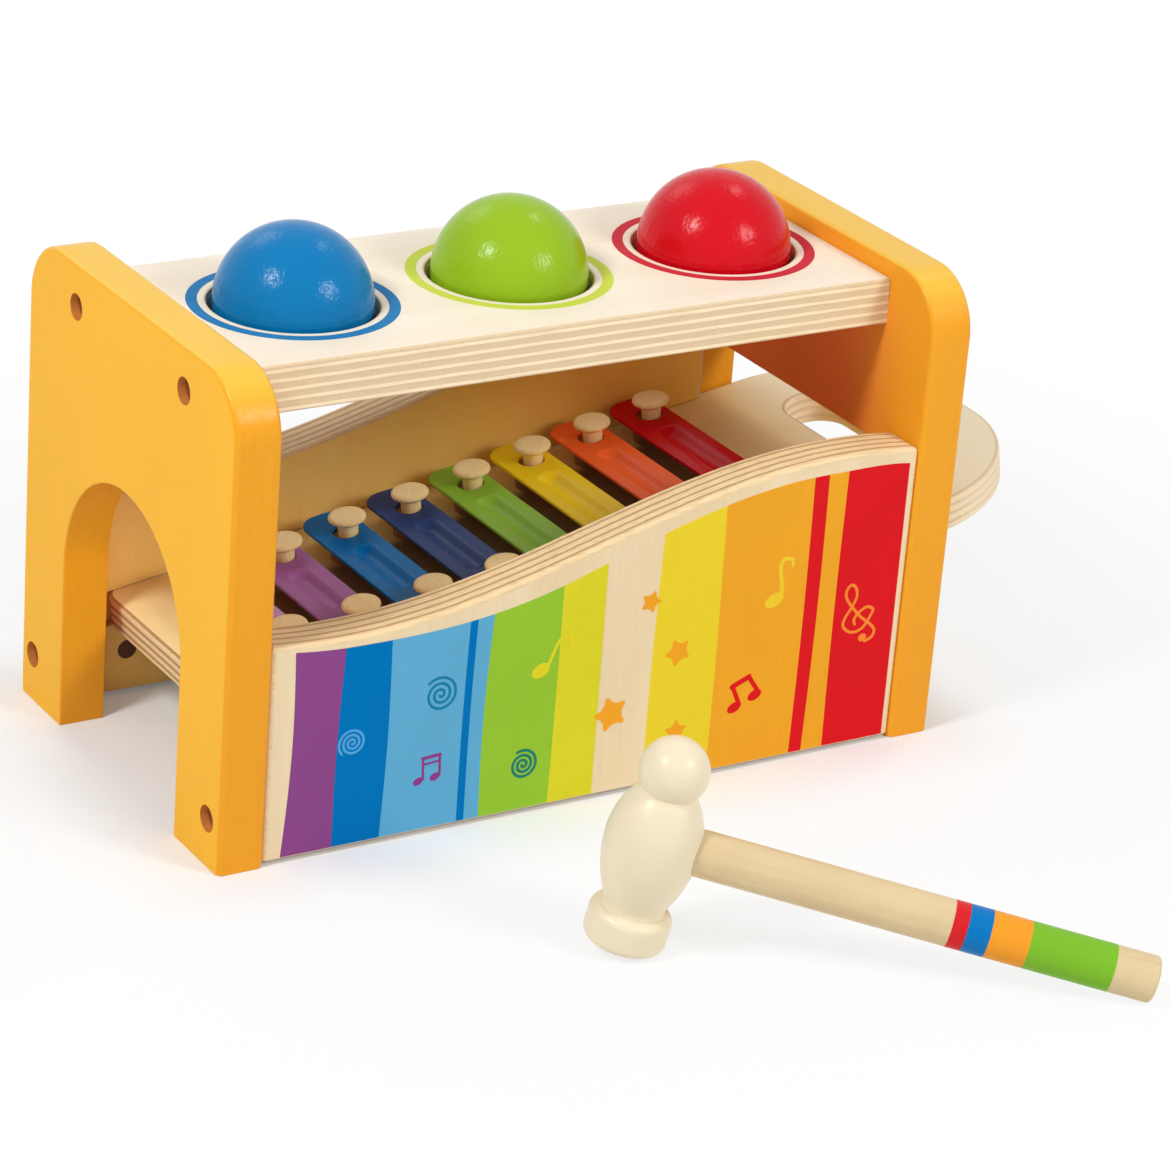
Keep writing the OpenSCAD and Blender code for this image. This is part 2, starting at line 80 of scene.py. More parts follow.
# Bolts, dowels and nuts: distance from the middle of the depth, and height
BORES = [(33.5, 130.2), (56.55, 14.2), (56.55, 46.0)]
COUNTERBORE = 3.9
NUT_X = (27.0, 209.0)
NUT_Z = 14.2
BORE_REACH, NUT_REACH = 5.0, 4.0

# Grooves of the long panels: below and above the tray's upper face, and across the bench
GROOVE_BELOW, GROOVE_ABOVE = 14.0, 2.0
GROOVE_FRONT_Y, GROOVE_REAR_Y = 10.0, 118.5

# Ball holes: the rubber rings in them, and the printed rings round them
BALL_RINGS = ["left_ball_ring", "middle_ball_ring", "right_ball_ring"]
BALL_HOLE_X = [sum(corner.x for corner in box_mm(node)) / 2 for node in BALL_RINGS]
RING_INNER, RING_OUTER = 26.5, 29.7

# Soft limits of the painted light on the end panels' inner faces, and of the painted warm bounce light on
# the long panels' inner faces
LIT_FRONT_Y = (46.0, 8.0)
LIT_ABOVE_Z = (BOARD_TOP - BOARD, BOARD_TOP - 6.0)
PAINTED_BOUNCE_X = (90.0, 200.0)

# Upper limit of the print: a wave with a dip on its way up and a lift at its end
PRINT_MIDDLE, PRINT_SWING = 77.9, 16.2
PRINT_LOW_AT, PRINT_RISE_LENGTH = 41.2, 151.4
PRINT_DIP, PRINT_DIP_X = 5.0, (40.0, 110.0)
PRINT_LIFT, PRINT_LIFT_X = 1.9, (192.0, 222.0)
PRINT_FOOT = PANEL_FOOT + 0.2

# Print: lower and upper face of each layer, and the lift of a figure's later strokes
STRIPE_LAYER, FIGURE_LAYER, RING_LAYER = (-0.03, 0.06), (0.04, 0.10), (-0.03, 0.05)
STROKE_LIFT = 0.012
STRIPE_STEP = 2.0

# Tray
TRAY_SLOPE = math.radians(9.2)
TRAY_LEFT_X = 19.2
TRAY_LEFT_Z = 33.3
TRAY_THICKNESS = 10.5

# Tray's painted light and shade: where it turns paler towards the handle, and the soft limits of the
# painted shade between its rows of pegs
PAINTED_LIGHT_FROM, PAINTED_LIGHT_TO = 206.0, 240.0
PAINTED_SHADE_START, PAINTED_SHADE_END = (9.0, 14.0), (192.0, 187.0)
PAINTED_SHADE_SIDE = (1.0, -5.0)
PAINTED_SHADE_DEPTH = (-TRAY_THICKNESS, -TRAY_THICKNESS / 2)

# Bars and their pegs, in the tray's own frame
FIRST_BAR_AT, BAR_PITCH = 24.4, 22.1
BAR_SHIFT, PEG_HOLE_SHIFT = 0.7, 1.2
BAR_TOP = 8.15
BAR_WIDTH, BAR_THICKNESS, BAR_CORNER = 16.0, 1.2, 6.5
BAR_EDGE, BAR_HOLE_EDGE = 0.45, 0.3
SHORT_BAR, LONG_BAR = 74.6, 97.0
SHORT_PEG, LONG_PEG = 21.7, 35.7
PEG_HOLE, PEG_BORE_REACH = 4.0, 4.6
PEG_HEAD, PEG_STEM, PEG_FOOT, PEG_TOP = 5.65, 3.0, -6.4, 14.05
PEG_NECK_LOW, PEG_NECK_HIGH, PEG_NECK_FLARE = 3.6, 2.9, 0.3
TROUGH_WIDTH, TROUGH_DEPTH, TROUGH_END_GAP = 9.4, 1.9, 9.2
TROUGH_STEPS, TROUGH_KEEL = 12, 0.01

# Hammer, with the head's axis upright and the handle along X before it is laid down
HAMMER_X, HAMMER_Y = 86.6, -80.15
HAMMER_TURN = math.radians(35.9)
HANDLE_RADIUS, HANDLE_LENGTH, HANDLE_CHAMFER = 6.5, 138.2, 1.0
DISC_RADIUS, DISC_EDGE = 11.4, 2.5
DISC_TOP, DISC_FOOT = -20.5, -31.0
BELLY_RADIUS, BELLY_UPPER_CURVE, BELLY_LOWER_CURVE = 13.1, 24.0, 40.0
KNOB_RADIUS, KNOB_HEIGHT = 9.5, 21.2
NECK_BLEND = 0.9
FOOT_FILLET, FOOT_FILLET_HEIGHT = 1.2, 3.2
HEAD_ROWS, ROWS_CROWD = 64, 1.35
GREEN_BAND_END, PAINT_THICKNESS = 126.0, 0.05

# Camera, in the bench's own frame
CAMERA_AT = (-479.9, -910.5, 547.4)
CAMERA_TURN = (66.117, -4.190, -31.123)
CAMERA_LENS = 131.61


def at(x, y, z):
    """Point of the bench's own frame, in millimetres, as a point of the part's frame."""
    return BENCH_CORNER + Vector((x, y, z)) * MM


def srgb(red, green, blue):
    """Screen colour, 0 to 255, as the linear colour that shaders take."""
    def linear(value):
        share = value / 255
        return share / 12.92 if share <= 0.04045 else ((share + 0.055) / 1.055) ** 2.4
    return (linear(red), linear(green), linear(blue), 1.0)


def shade(colour, share):
    """The same colour, darker."""
    return tuple(c * share for c in colour[:3]) + (1.0,)


# Materials

BIRCH = srgb(241, 220, 182)
BIRCH_STREAK = srgb(228, 200, 155)
PALE_BIRCH = srgb(249, 237, 217)
PALE_BIRCH_STREAK = srgb(241, 223, 196)
# Inner faces of the long panels: a warmer copy of the birch that paints warm bounce light in the bench's
# shade
HONEY_PAINTED_BOUNCE = srgb(255, 216, 128)
HONEY_PAINTED_BOUNCE_STREAK = srgb(246, 194, 100)
HONEY_DEEPER_PAINTED_BOUNCE = srgb(255, 202, 84)
FLECK = srgb(172, 132, 84)
# Tray: painted light towards the handle, out of the bench's shade, and painted shade between its rows of
# pegs
TRAY_PAINTED_LIGHT = srgb(255, 246, 218)
TRAY_EDGE_PAINTED_LIGHT = srgb(246, 228, 196)
TRAY_PAINTED_SHADE = srgb(104, 60, 40)
ORANGE = srgb(248, 184, 40)
ORANGE_RIM = srgb(240, 164, 34)
ORANGE_EDGE = srgb(236, 150, 28)
# Painted light: paler colour of the painted edges' upward faces
ORANGE_TOP_PAINTED_LIGHT = srgb(240, 194, 68)
# Painted shade: redder colour of the end panels' inner faces, where shade falls
ORANGE_INSIDE_PAINTED_SHADE = srgb(255, 134, 70)
RAW_BORE = srgb(214, 136, 66)


def shader(name, roughness, specular, metallic=0.0):
    material = bpy.data.materials.new(name)
    material.use_nodes = True
    tree = material.node_tree
    surface = tree.nodes["Principled BSDF"]
    surface.inputs["Roughness"].default_value = roughness
    surface.inputs["Specular IOR Level"].default_value = specular
    surface.inputs["Metallic"].default_value = metallic
    return material, tree, surface


def add(tree, kind, inputs=None, **settings):
    """New node with its settings, and its inputs given as values or as sockets to link."""
    node = tree.nodes.new(kind)
    for name, value in settings.items():
        setattr(node, name, value)
    for name, value in (inputs or {}).items():
        if isinstance(value, bpy.types.NodeSocket):
            tree.links.new(value, node.inputs[name])
        else:
            node.inputs[name].default_value = value
    return node


def maths(tree, operation, first, second=0.0, third=0.0):
    node = add(tree, "ShaderNodeMath", {0: first, 1: second, 2: third}, operation=operation)
    return node.outputs[0]


# Sockets of a node that mixes colours
MIX_SHARE, MIX_FROM, MIX_TO, MIX_RESULT = 0, 6, 7, 2


def tinted(tree, colour, share, strength, towards):
    """Colour that goes towards another one by a share, at most by the strength."""
    amount = maths(tree, "MULTIPLY", share, strength)
    inputs = {MIX_SHARE: amount, MIX_FROM: colour, MIX_TO: towards}
    return add(tree, "ShaderNodeMix", inputs, data_type="RGBA").outputs[MIX_RESULT]


def own_place(tree):
    return add(tree, "ShaderNodeTexCoord").outputs["Object"]


def own_xyz(tree):
    return add(tree, "ShaderNodeSeparateXYZ", {0: own_place(tree)}).outputs


def noise(tree, scale, detail):
    """Noise on the piece's own coordinates, with a scale for each axis."""
    mapped = add(tree, "ShaderNodeMapping", {"Vector": own_place(tree), "Scale": scale})
    node = add(tree, "ShaderNodeTexNoise", {
        "Vector": mapped.outputs[0], "Scale": 1.0, "Detail": detail, "Roughness": 0.55})
    return node.outputs["Fac"]


def evenly(scale):
    return (scale, scale, scale)


def along(axis, length_scale, cross_scale):
    """Texture scale of a grain that runs along one axis."""
    return tuple(length_scale if i == axis else cross_scale for i in range(3))


def between(tree, value, low, high):
    """Share, 0 to 1, of the way that a value has gone from low to high."""
    node = add(tree, "ShaderNodeMapRange", {
        "Value": value, "From Min": low, "From Max": high}, interpolation_type="SMOOTHSTEP")
    return node.outputs["Result"]


def patches(tree, scale, detail, low, high):
    """Noise that is 0 below one of its levels and 1 above another."""
    return between(tree, noise(tree, scale, detail), low, high)


def finish(tree, surface, colour, height, depth, strength):
    """Links the colour and the relief to the surface."""
    tree.links.new(colour, surface.inputs["Base Color"])
    bump = add(tree, "ShaderNodeBump", {"Height": height, "Distance": depth * MM, "Strength": strength})
    tree.links.new(bump.outputs[0], surface.inputs["Normal"])


def vary_roughness(tree, surface, share, low, high):
    spread = add(tree, "ShaderNodeMapRange", {"Value": share, "To Min": low, "To Max": high})
    tree.links.new(spread.outputs["Result"], surface.inputs["Roughness"])


# Painted light: the colour goes paler towards the handle, which sticks out of the bench into the light
def painted_light_towards_handle(tree, colour, strength, pale):
    share = between(tree, own_xyz(tree)[0], PAINTED_LIGHT_FROM * MM, PAINTED_LIGHT_TO * MM)
    return tinted(tree, colour, share, strength, pale)


# Tray's edges: paler painted light towards the handle
def tray_edge_painted_light(tree, colour):
    return painted_light_towards_handle(tree, colour, 0.75, TRAY_EDGE_PAINTED_LIGHT)


def painted_warm_bounce(tree, colour):
    """Painted warm bounce light on the inside of the long panels: warmer towards the right end panel."""
    right = between(tree, own_xyz(tree)[0], *(at(x, 0, 0).x for x in PAINTED_BOUNCE_X))
    return tinted(tree, colour, right, 0.75, HONEY_DEEPER_PAINTED_BOUNCE)


def tray_painted_light_and_shade(tree, colour):
    """Tray's colour: painted light that goes paler towards the handle, and painted shade on top between the
    rows of pegs.
    """
    x, y, z = own_xyz(tree)
    colour = painted_light_towards_handle(tree, colour, 1.0, TRAY_PAINTED_LIGHT)
    splay = (LONG_PEG - SHORT_PEG) / (BAR_PITCH * (len(BAR_COLOURS) - 1))
    beside = maths(tree, "MULTIPLY_ADD", x, -splay, maths(tree, "ABSOLUTE", y))
    row = (SHORT_PEG - FIRST_BAR_AT * splay) * MM
    # Painted shade on the tray's top between the rows of pegs, where the bars shade it
    painted_shade = between(tree, beside, *(row + side * MM for side in PAINTED_SHADE_SIDE))
    for value, limits in ((x, PAINTED_SHADE_START), (x, PAINTED_SHADE_END), (z, PAINTED_SHADE_DEPTH)):
        painted_shade = maths(tree, "MULTIPLY", painted_shade, between(tree, value, *(limit * MM for limit in limits)))
    return tinted(tree, colour, painted_shade, 0.8, TRAY_PAINTED_SHADE)


def veneer(name, grain_axis, light=BIRCH, streak=BIRCH_STREAK, ground=None):
    """Face of lacquered birch: broad figure, fine fibres and short flecks along the grain."""
    material, tree, surface = shader(name, 0.5, 0.25)
    figure = patches(tree, along(grain_axis, 4.0, 48.0), 5.0, 0.36, 0.74)
    fibres = patches(tree, along(grain_axis, 30.0, 1300.0), 3.0, 0.42, 0.72)
    flecks = patches(tree, along(grain_axis, 140.0, 2400.0), 2.0, 0.66, 0.78)
    colour = tinted(tree, light, figure, 0.55, streak)
    colour = tinted(tree, colour, fibres, 0.20, streak)
    colour = tinted(tree, colour, flecks, 0.18, FLECK)
    if ground:
        colour = ground(tree, colour)
    vary_roughness(tree, surface, fibres, 0.44, 0.58)
    finish(tree, surface, colour, fibres, 0.08, 0.25)
    return material


def ply_share(tree, axis, middle, pitch, phase):
    """How deep a point lies in one of a board's cross-grain plies, 0 to 1."""
    depth = own_xyz(tree)[axis]
    waver = maths(tree, "MULTIPLY_ADD", noise(tree, evenly(60.0), detail=2.0), 0.12, -0.06 + phase)
    turns = maths(tree, "MULTIPLY_ADD", maths(tree, "SUBTRACT", depth, middle), 1.0 / (pitch * MM), waver)
    wave = maths(tree, "COSINE", maths(tree, "MULTIPLY", turns, 2 * math.pi))
    return maths(tree, "MULTIPLY_ADD", wave, -0.5, 0.5)


def ply_edge(name, axis, middle, pitch, line_at, light, line, phase=0.0, ground=None):
    """Cut edge of plywood along X: plies along the grain, darker ones across it, thin glue lines."""
    material, tree, surface = shader(name, 0.56, 0.2)
    share = ply_share(tree, axis, middle, pitch, phase)
    fibres = noise(tree, along(0, 70.0, 1100.0), detail=4.0)
    pores = noise(tree, evenly(1500.0), detail=2.0)
    rough_share = maths(tree, "MULTIPLY_ADD", maths(tree, "SUBTRACT", fibres, 0.5), 0.30, share)
    cross = between(tree, rough_share, line_at - 0.16, line_at + 0.12)
    rise = between(tree, rough_share, line_at - 0.20, line_at - 0.04)
    glue = maths(tree, "SUBTRACT", rise, between(tree, rough_share, line_at, line_at + 0.16))
    colour = tinted(tree, light, between(tree, fibres, 0.42, 0.70), 0.30, line)
    colour = tinted(tree, colour, cross, 0.86, line)
    dots = maths(tree, "MULTIPLY", cross, between(tree, pores, 0.5, 0.72))
    colour = tinted(tree, colour, dots, 0.25, shade(line, 0.6))
    colour = tinted(tree, colour, glue, 0.22, shade(line, 0.6))
    if ground:
        colour = ground(tree, colour)
    finish(tree, surface, colour, maths(tree, "SUBTRACT", fibres, share), 0.10, 0.30)
    return material


def paint(name, colour, roughness=0.36, specular=0.3, grain_axis=2, peel=700.0, depth=0.05, strength=0.25,
          lit=None):
    """Sprayed paint on wood: slight change of tone, a skin that isn't quite smooth, faint grain.

    lit is the colour of painted light on a panel's inner face, near its front and above the top board.
    """
    material, tree, surface = shader(name, roughness, specular)
    tone = patches(tree, evenly(16.0), 3.0, 0.35, 0.70)
    grain = patches(tree, along(grain_axis, 14.0, 420.0), 4.0, 0.45, 0.75)
    skin = noise(tree, evenly(peel), detail=2.0)
    mixed = tinted(tree, colour, tone, 0.35, shade(colour, 0.90))
    mixed = tinted(tree, mixed, grain, 0.10, shade(colour, 0.86))
    # Painted light near the inner face's front and above the top board
    if lit:
        _, y, z = own_xyz(tree)
        front = between(tree, y, *(at(0, place, 0).y for place in LIT_FRONT_Y))
        above = between(tree, z, *(at(0, 0, height).z for height in LIT_ABOVE_Z))
        mixed = tinted(tree, mixed, maths(tree, "MAXIMUM", front, above), 0.9, lit)
    vary_roughness(tree, surface, skin, roughness - 0.06, roughness + 0.08)
    finish(tree, surface, mixed, maths(tree, "MULTIPLY_ADD", grain, 0.4, skin), depth, strength)
    return material


def painted_edge(name, colour, line, axis, middle, pitch):
    """Paint over a plywood edge, where the plies still show as faint lines; faces that point up get a paler
    painted light.
    """
    material, tree, surface = shader(name, 0.32, 0.18)
    share = between(tree, ply_share(tree, axis, middle, pitch, 0.0), 0.55, 0.85)
    tone = patches(tree, evenly(18.0), 3.0, 0.35, 0.7)
    streaks = patches(tree, evenly(520.0), 3.0, 0.45, 0.7)
    mixed = tinted(tree, colour, share, 0.12, line)
    mixed = tinted(tree, mixed, tone, 0.22, line)
    mixed = tinted(tree, mixed, streaks, 0.06, shade(line, 0.85))
    # Painted light: faces that point upwards turn paler
    normal = add(tree, "ShaderNodeNewGeometry").outputs["Normal"]
    upward = add(tree, "ShaderNodeSeparateXYZ", {0: normal}).outputs[2]
    mixed = tinted(tree, mixed, between(tree, upward, 0.3, 0.95), 0.9, ORANGE_TOP_PAINTED_LIGHT)
    vary_roughness(tree, surface, streaks, 0.28, 0.38)
    finish(tree, surface, mixed, maths(tree, "MULTIPLY_ADD", share, -1.0, streaks), 0.05, 0.2)
    return material


def ink(name, colour, grain_axis=2):
    """Thin print on birch: the fibres show through a little."""
    material, tree, surface = shader(name, 0.46, 0.02)
    fibres = patches(tree, along(grain_axis, 24.0, 900.0), 3.0, 0.45, 0.75)
    tone = patches(tree, evenly(34.0), 3.0, 0.35, 0.7)
    mixed = tinted(tree, colour, fibres, 0.16, shade(colour, 0.84))
    mixed = tinted(tree, mixed, tone, 0.25, shade(colour, 0.88))
    vary_roughness(tree, surface, fibres, 0.42, 0.54)
    finish(tree, surface, mixed, fibres, 0.04, 0.2)
    return material


def enamel(name, colour):
    """Enamel on pressed steel."""
    material, tree, surface = shader(name, 0.24, 0.08)
    tone = patches(tree, evenly(40.0), 2.0, 0.35, 0.7)
    skin = noise(tree, evenly(500.0), detail=2.0)
    mixed = tinted(tree, colour, tone, 0.25, shade(colour, 0.88))
    vary_roughness(tree, surface, skin, 0.20, 0.28)
    finish(tree, surface, mixed, skin, 0.03, 0.15)
    return material


def turned_wood(name, light, streak, scale, mottle=0.3):
    """Turned pieces: close grain and faint tool marks."""
    material, tree, surface = shader(name, 0.5, 0.25)
    grain = patches(tree, scale, 4.0, 0.42, 0.7)
    blotches = patches(tree, evenly(70.0), 2.0, 0.35, 0.7)
    colour = tinted(tree, light, grain, 0.45, streak)
    colour = tinted(tree, colour, blotches, mottle, streak)
    vary_roughness(tree, surface, grain, 0.42, 0.58)
    finish(tree, surface, colour, grain, 0.08, 0.3)
    return material


PITH_SHIFT, YEAR_RING = 4.0, 1.3


def end_grain(name, light, ring_colour):
    """Sawn end of a round bar, with its year rings round the X axis."""
    material, tree, surface = shader(name, 0.6, 0.2)
    _, y, z = own_xyz(tree)
    squares = [maths(tree, "POWER", side, 2.0) for side in (maths(tree, "ADD", y, PITH_SHIFT * MM), z)]
    reach = maths(tree, "SQRT", maths(tree, "ADD", *squares))
    waver = maths(tree, "MULTIPLY", noise(tree, evenly(240.0), detail=3.0), 3.0)
    rings = maths(tree, "SINE", maths(tree, "MULTIPLY_ADD", reach, 2 * math.pi / (YEAR_RING * MM), waver))
    share = between(tree, rings, -0.2, 1.0)
    pores = patches(tree, evenly(2400.0), 2.0, 0.58, 0.72)
    colour = tinted(tree, light, share, 0.5, ring_colour)
    colour = tinted(tree, colour, pores, 0.35, shade(ring_colour, 0.7))
    finish(tree, surface, colour, pores, 0.1, 0.3)
    return material


def felt(name, colour):
    material, tree, surface = shader(name, 0.95, 0.1)
    surface.inputs["Sheen Weight"].default_value = 0.2
    fluff = noise(tree, evenly(1500.0), detail=5.0)
    finish(tree, surface, tinted(tree, shade(colour, 0.6), fluff, 1.0, colour), fluff, 0.4, 0.6)
    return material


def rubber(name, colour):
    material, tree, surface = shader(name, 0.7, 0.25)
    bloom = noise(tree, evenly(300.0), detail=4.0)
    vary_roughness(tree, surface, bloom, 0.6, 0.8)
    finish(tree, surface, tinted(tree, shade(colour, 0.7), bloom, 1.0, colour), bloom, 0.08, 0.3)
    return material


def metal(name, low, high, roughness):
    material, tree, surface = shader(name, roughness, 0.5, 1.0)
    tone = noise(tree, evenly(800.0), detail=3.0)
    vary_roughness(tree, surface, tone, roughness - 0.08, roughness + 0.1)
    finish(tree, surface, tinted(tree, low, tone, 1.0, high), tone, 0.03, 0.3)
    return material


# Meshes

FLAT = 0.97
COPLANAR = 0.99999
SOFT = math.cos(math.radians(40.0))
SHARP_ANGLE = math.radians(35.0)
FINE_EDGE = 0.5
WELD, SLIVER = 0.002, 0.001


def flat_regions(shape):
    """Area of the flat region that each face lies in, by the face's index."""
    region, areas = {}, []
    for seed in shape.faces:
        if seed.index in region:
            continue
        areas.append(0.0)
        region[seed.index] = len(areas) - 1
        waiting = [seed]
        while waiting:
            face = waiting.pop()
            areas[-1] += face.calc_area()
            for edge in face.edges:
                for other in edge.link_faces:
                    if other.index not in region and face.normal.dot(other.normal) > COPLANAR:
                        region[other.index] = len(areas) - 1
                        waiting.append(other)
    return {index: areas[number] for index, number in region.items()}


def smooth_normals(shape):
    """Normal of each face corner: smooth over soft edges, and true to the wider flat region."""
    shape.faces.index_update()
    weight = flat_regions(shape)
    normals = []
    for face in shape.faces:
        for vert in face.verts:
            total = Vector((0.0, 0.0, 0.0))
            for other in vert.link_faces:
                if face.normal.dot(other.normal) > SOFT:
                    total += other.normal * weight[other.index]
            normals.append(total.normalized())
    return normals


def link(name, shape, materials, body, place=STAY):
    """New piece, from a finished shape, that rides on a body."""
    mesh = bpy.data.meshes.new(name)
    bmesh.ops.recalc_face_normals(shape, faces=shape.faces)
    normals = smooth_normals(shape)
    shape.to_mesh(mesh)
    shape.free()
    mesh.shade_smooth()
    mesh.normals_split_custom_set(normals)
    piece = bpy.data.objects.new(name, mesh)
    bpy.context.scene.collection.objects.link(piece)
    for material in materials:
        mesh.materials.append(material)
    piece.matrix_world = place
    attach(piece, body)
    return piece


def stands_for(piece, node):
    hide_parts(node)


def bevel(shape, width, steps, chosen):
    """Eases the sharp edges whose middles are chosen."""
    sharp = [
        e for e in shape.edges
        if len(e.link_faces) == 2
        and e.calc_face_angle(0.0) > SHARP_ANGLE
        and chosen((e.verts[0].co + e.verts[1].co) / 2)
    ]
    bmesh.ops.bevel(
        shape, geom=sharp, offset=width * MM, offset_type="OFFSET", segments=steps,
        profile=0.5, affect="EDGES", clamp_overlap=False, material=-1)


def nowhere(point):
    return False


def eased(node, name, body, materials, pick, width, steps=3, skip=nowhere, fine=nowhere, place=STAY):
    """Copy of a CAD node with eased edges, which stands for the node.

    pick gives a face's place in the list of materials, skip the places whose edges stay sharp,
    and fine those whose edges are eased only a little.
    """
    shape = bmesh.new()
    shape.from_mesh(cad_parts[node].data)
    shape.transform(place.inverted())
    bmesh.ops.remove_doubles(shape, verts=shape.verts, dist=WELD * MM)
    bmesh.ops.dissolve_limit(shape, angle_limit=math.radians(0.2), verts=shape.verts, edges=shape.edges)
    bevel(shape, width, steps, lambda p: not (skip(p) or fine(p)))
    bevel(shape, FINE_EDGE, 2, lambda p: fine(p) and not skip(p))
    bmesh.ops.recalc_face_normals(shape, faces=shape.faces)
    for face in shape.faces:
        face.material_index = pick(face)
    wide = [face for face in shape.faces if len(face.verts) > 4]
    bmesh.ops.triangulate(shape, faces=wide, ngon_method="BEAUTY")
    piece = link(name, shape, materials, body, place)
    stands_for(piece, node)


def board_faces(face):
    """Material choice of a level board: broad faces, then edges."""
    return 0 if abs(face.normal.z) > FLAT else 1


def printed(name, parts, materials, place, layer):
    """Thin solid figures on a flat face of the bench.

    parts are (loops, material index, lift), and place gives the point for (u, v, height).
    """
    low, high = layer
    shape = bmesh.new()
    for loops, index, lift in parts:
        flat = [point for loop in loops for point in loop]
        bottom = [shape.verts.new(place(u, v, low)) for u, v in flat]
        top = [shape.verts.new(place(u, v, high + lift)) for u, v in flat]
        made = []
        for a, b, c in tessellate_polygon([[Vector((u, v, 0.0)) for u, v in loop] for loop in loops]):
            made.append(shape.faces.new((top[a], top[b], top[c])))
            made.append(shape.faces.new((bottom[c], bottom[b], bottom[a])))
        first = 0
        for loop in loops:
            for i in range(len(loop)):
                a, b = first + i, first + (i + 1) % len(loop)
                made.append(shape.faces.new((bottom[a], bottom[b], top[b], top[a])))
            first += len(loop)
        for face in made:
            face.material_index = index
    link(name, shape, materials, "bench")


def bridge(shape, first, second, index=0):
    """Band of faces between two closed loops of as many points, or a loop and a single point."""
    count = max(len(first), len(second))
    for i in range(count):
        j = (i + 1) % count
        corners = [
            first[i % len(first)], first[j % len(first)],
            second[j % len(second)], second[i % len(second)]]
        shape.faces.new(list(dict.fromkeys(corners))).material_index = index


def turn_round(shape, profile, sides, place=STAY):
    """Solid of revolution round its own X axis: profile is (x, radius, material of the next band)."""
    rings = []
    for x, radius, _ in profile:
        circle = ring(radius, sides) if radius else [(0.0, 0.0)]
        rings.append([shape.verts.new(place @ Vector((x * MM, u * MM, v * MM))) for u, v in circle])
    for first, second, (_, _, index) in zip(rings, rings[1:], profile):
        bridge(shape, first, second, index)


def laid_along(material, place):
    """Turns a material's own coordinates to the frame that its piece is laid in."""
    tree, back = material.node_tree, place.inverted()
    for wire in list(tree.links):
        if wire.from_node.type == "TEX_COORD":
            turned = add(tree, "ShaderNodeMapping", {
                "Vector": wire.from_socket, "Location": back.translation, "Rotation": back.to_euler()})
            tree.links.new(turned.outputs[0], wire.to_socket)


def lathe(name, profile, materials, body, place, sides=72):
    shape = bmesh.new()
    turn_round(shape, profile, sides, place)
    for material in materials:
        laid_along(material, place)
    return link(name, shape, materials, body)


def plain(node, material):
    """CAD node that keeps its own shape and gets a finished material."""
    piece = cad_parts[node]
    piece.data.materials.clear()
    piece.data.materials.append(material)


# Flat figures, in millimetres

def ring(radius, sides=96):
    return [(radius * math.cos(2 * math.pi * i / sides), radius * math.sin(2 * math.pi * i / sides))
            for i in range(sides)]


def round_box(half_u, half_v, radius, steps=8):
    """Outline of a rectangle with round corners."""
    points = []
    for side_u, side_v, start in ((1, 1, 0), (-1, 1, 90), (-1, -1, 180), (1, -1, 270)):
        for i in range(steps + 1):
            angle = math.radians(start + 90 * i / steps)
            points.append((
                side_u * (half_u - radius) + radius * math.cos(angle),
                side_v * (half_v - radius) + radius * math.sin(angle)))
    return points


def moved(points, x, y, turn=0.0):
    c, s = math.cos(math.radians(turn)), math.sin(math.radians(turn))
    return [(x + u * c - v * s, y + u * s + v * c) for u, v in points]


def cut_corners(points):
    """Closed outline with a quarter of each side cut off at both ends."""
    smoother = []
    for (ax, ay), (bx, by) in zip(points, points[1:] + points[:1]):
        smoother.append((ax * 0.75 + bx * 0.25, ay * 0.75 + by * 0.25))
        smoother.append((ax * 0.25 + bx * 0.75, ay * 0.25 + by * 0.75))
    return smoother


def through(knots, steps=8):
    """Smooth open curve through its knots."""
    padded = [knots[0]] + knots + [knots[-1]]
    curve = []
    for p0, p1, p2, p3 in zip(padded, padded[1:], padded[2:], padded[3:]):
        for i in range(steps):
            t = i / steps
            curve.append(tuple(
                0.5 * (2 * b + (c - a) * t + (2 * a - 5 * b + 4 * c - d) * t * t
                       + (3 * b - a - 3 * c + d) * t ** 3)
                for a, b, c, d in zip(p0, p1, p2, p3)))
    return curve + [knots[-1]]


ROUND_END_STEPS = 6


def stroke(line, start_width, end_width):
    """Outline of a pen stroke along an open line, with round ends."""
    left, right = [], []
    for i, (x, y) in enumerate(line):
        ax, ay = line[max(i - 1, 0)]
        bx, by = line[min(i + 1, len(line) - 1)]
        size = math.hypot(bx - ax, by - ay)
        half = (start_width + (end_width - start_width) * i / (len(line) - 1)) / 2
        nx, ny = -(by - ay) / size * half, (bx - ax) / size * half
        left.append((x + nx, y + ny))
        right.append((x - nx, y - ny))
    ends = []
    for (ax, ay), (bx, by) in ((left[-1], right[-1]), (right[0], left[0])):
        cx, cy = (ax + bx) / 2, (ay + by) / 2
        start = math.atan2(ay - cy, ax - cx)
        reach = math.hypot(ax - cx, ay - cy)
        turns = [start - math.pi * i / ROUND_END_STEPS for i in range(1, ROUND_END_STEPS)]
        ends.append([(cx + reach * math.cos(turn), cy + reach * math.sin(turn)) for turn in turns])
    return left + ends[0] + right[::-1] + ends[1]


SPIRAL_START, STAR_WAIST = 0.08, 0.48


def spiral(radius, turns, width, steps=90):
    line = []
    for i in range(steps + 1):
        share = i / steps
        angle = 2 * math.pi * turns * share
        reach = radius * (SPIRAL_START + (1 - SPIRAL_START) * share)
        line.append((reach * math.cos(angle), reach * math.sin(angle)))
    return [stroke(line, width, width)]


def star(radius):
    points = []
    for i in range(10):
        reach = radius if i % 2 == 0 else radius * STAR_WAIST
        angle = math.pi / 2 + math.pi * i / 5
        points.append((reach * math.cos(angle), reach * math.sin(angle)))
    return [cut_corners(points)]


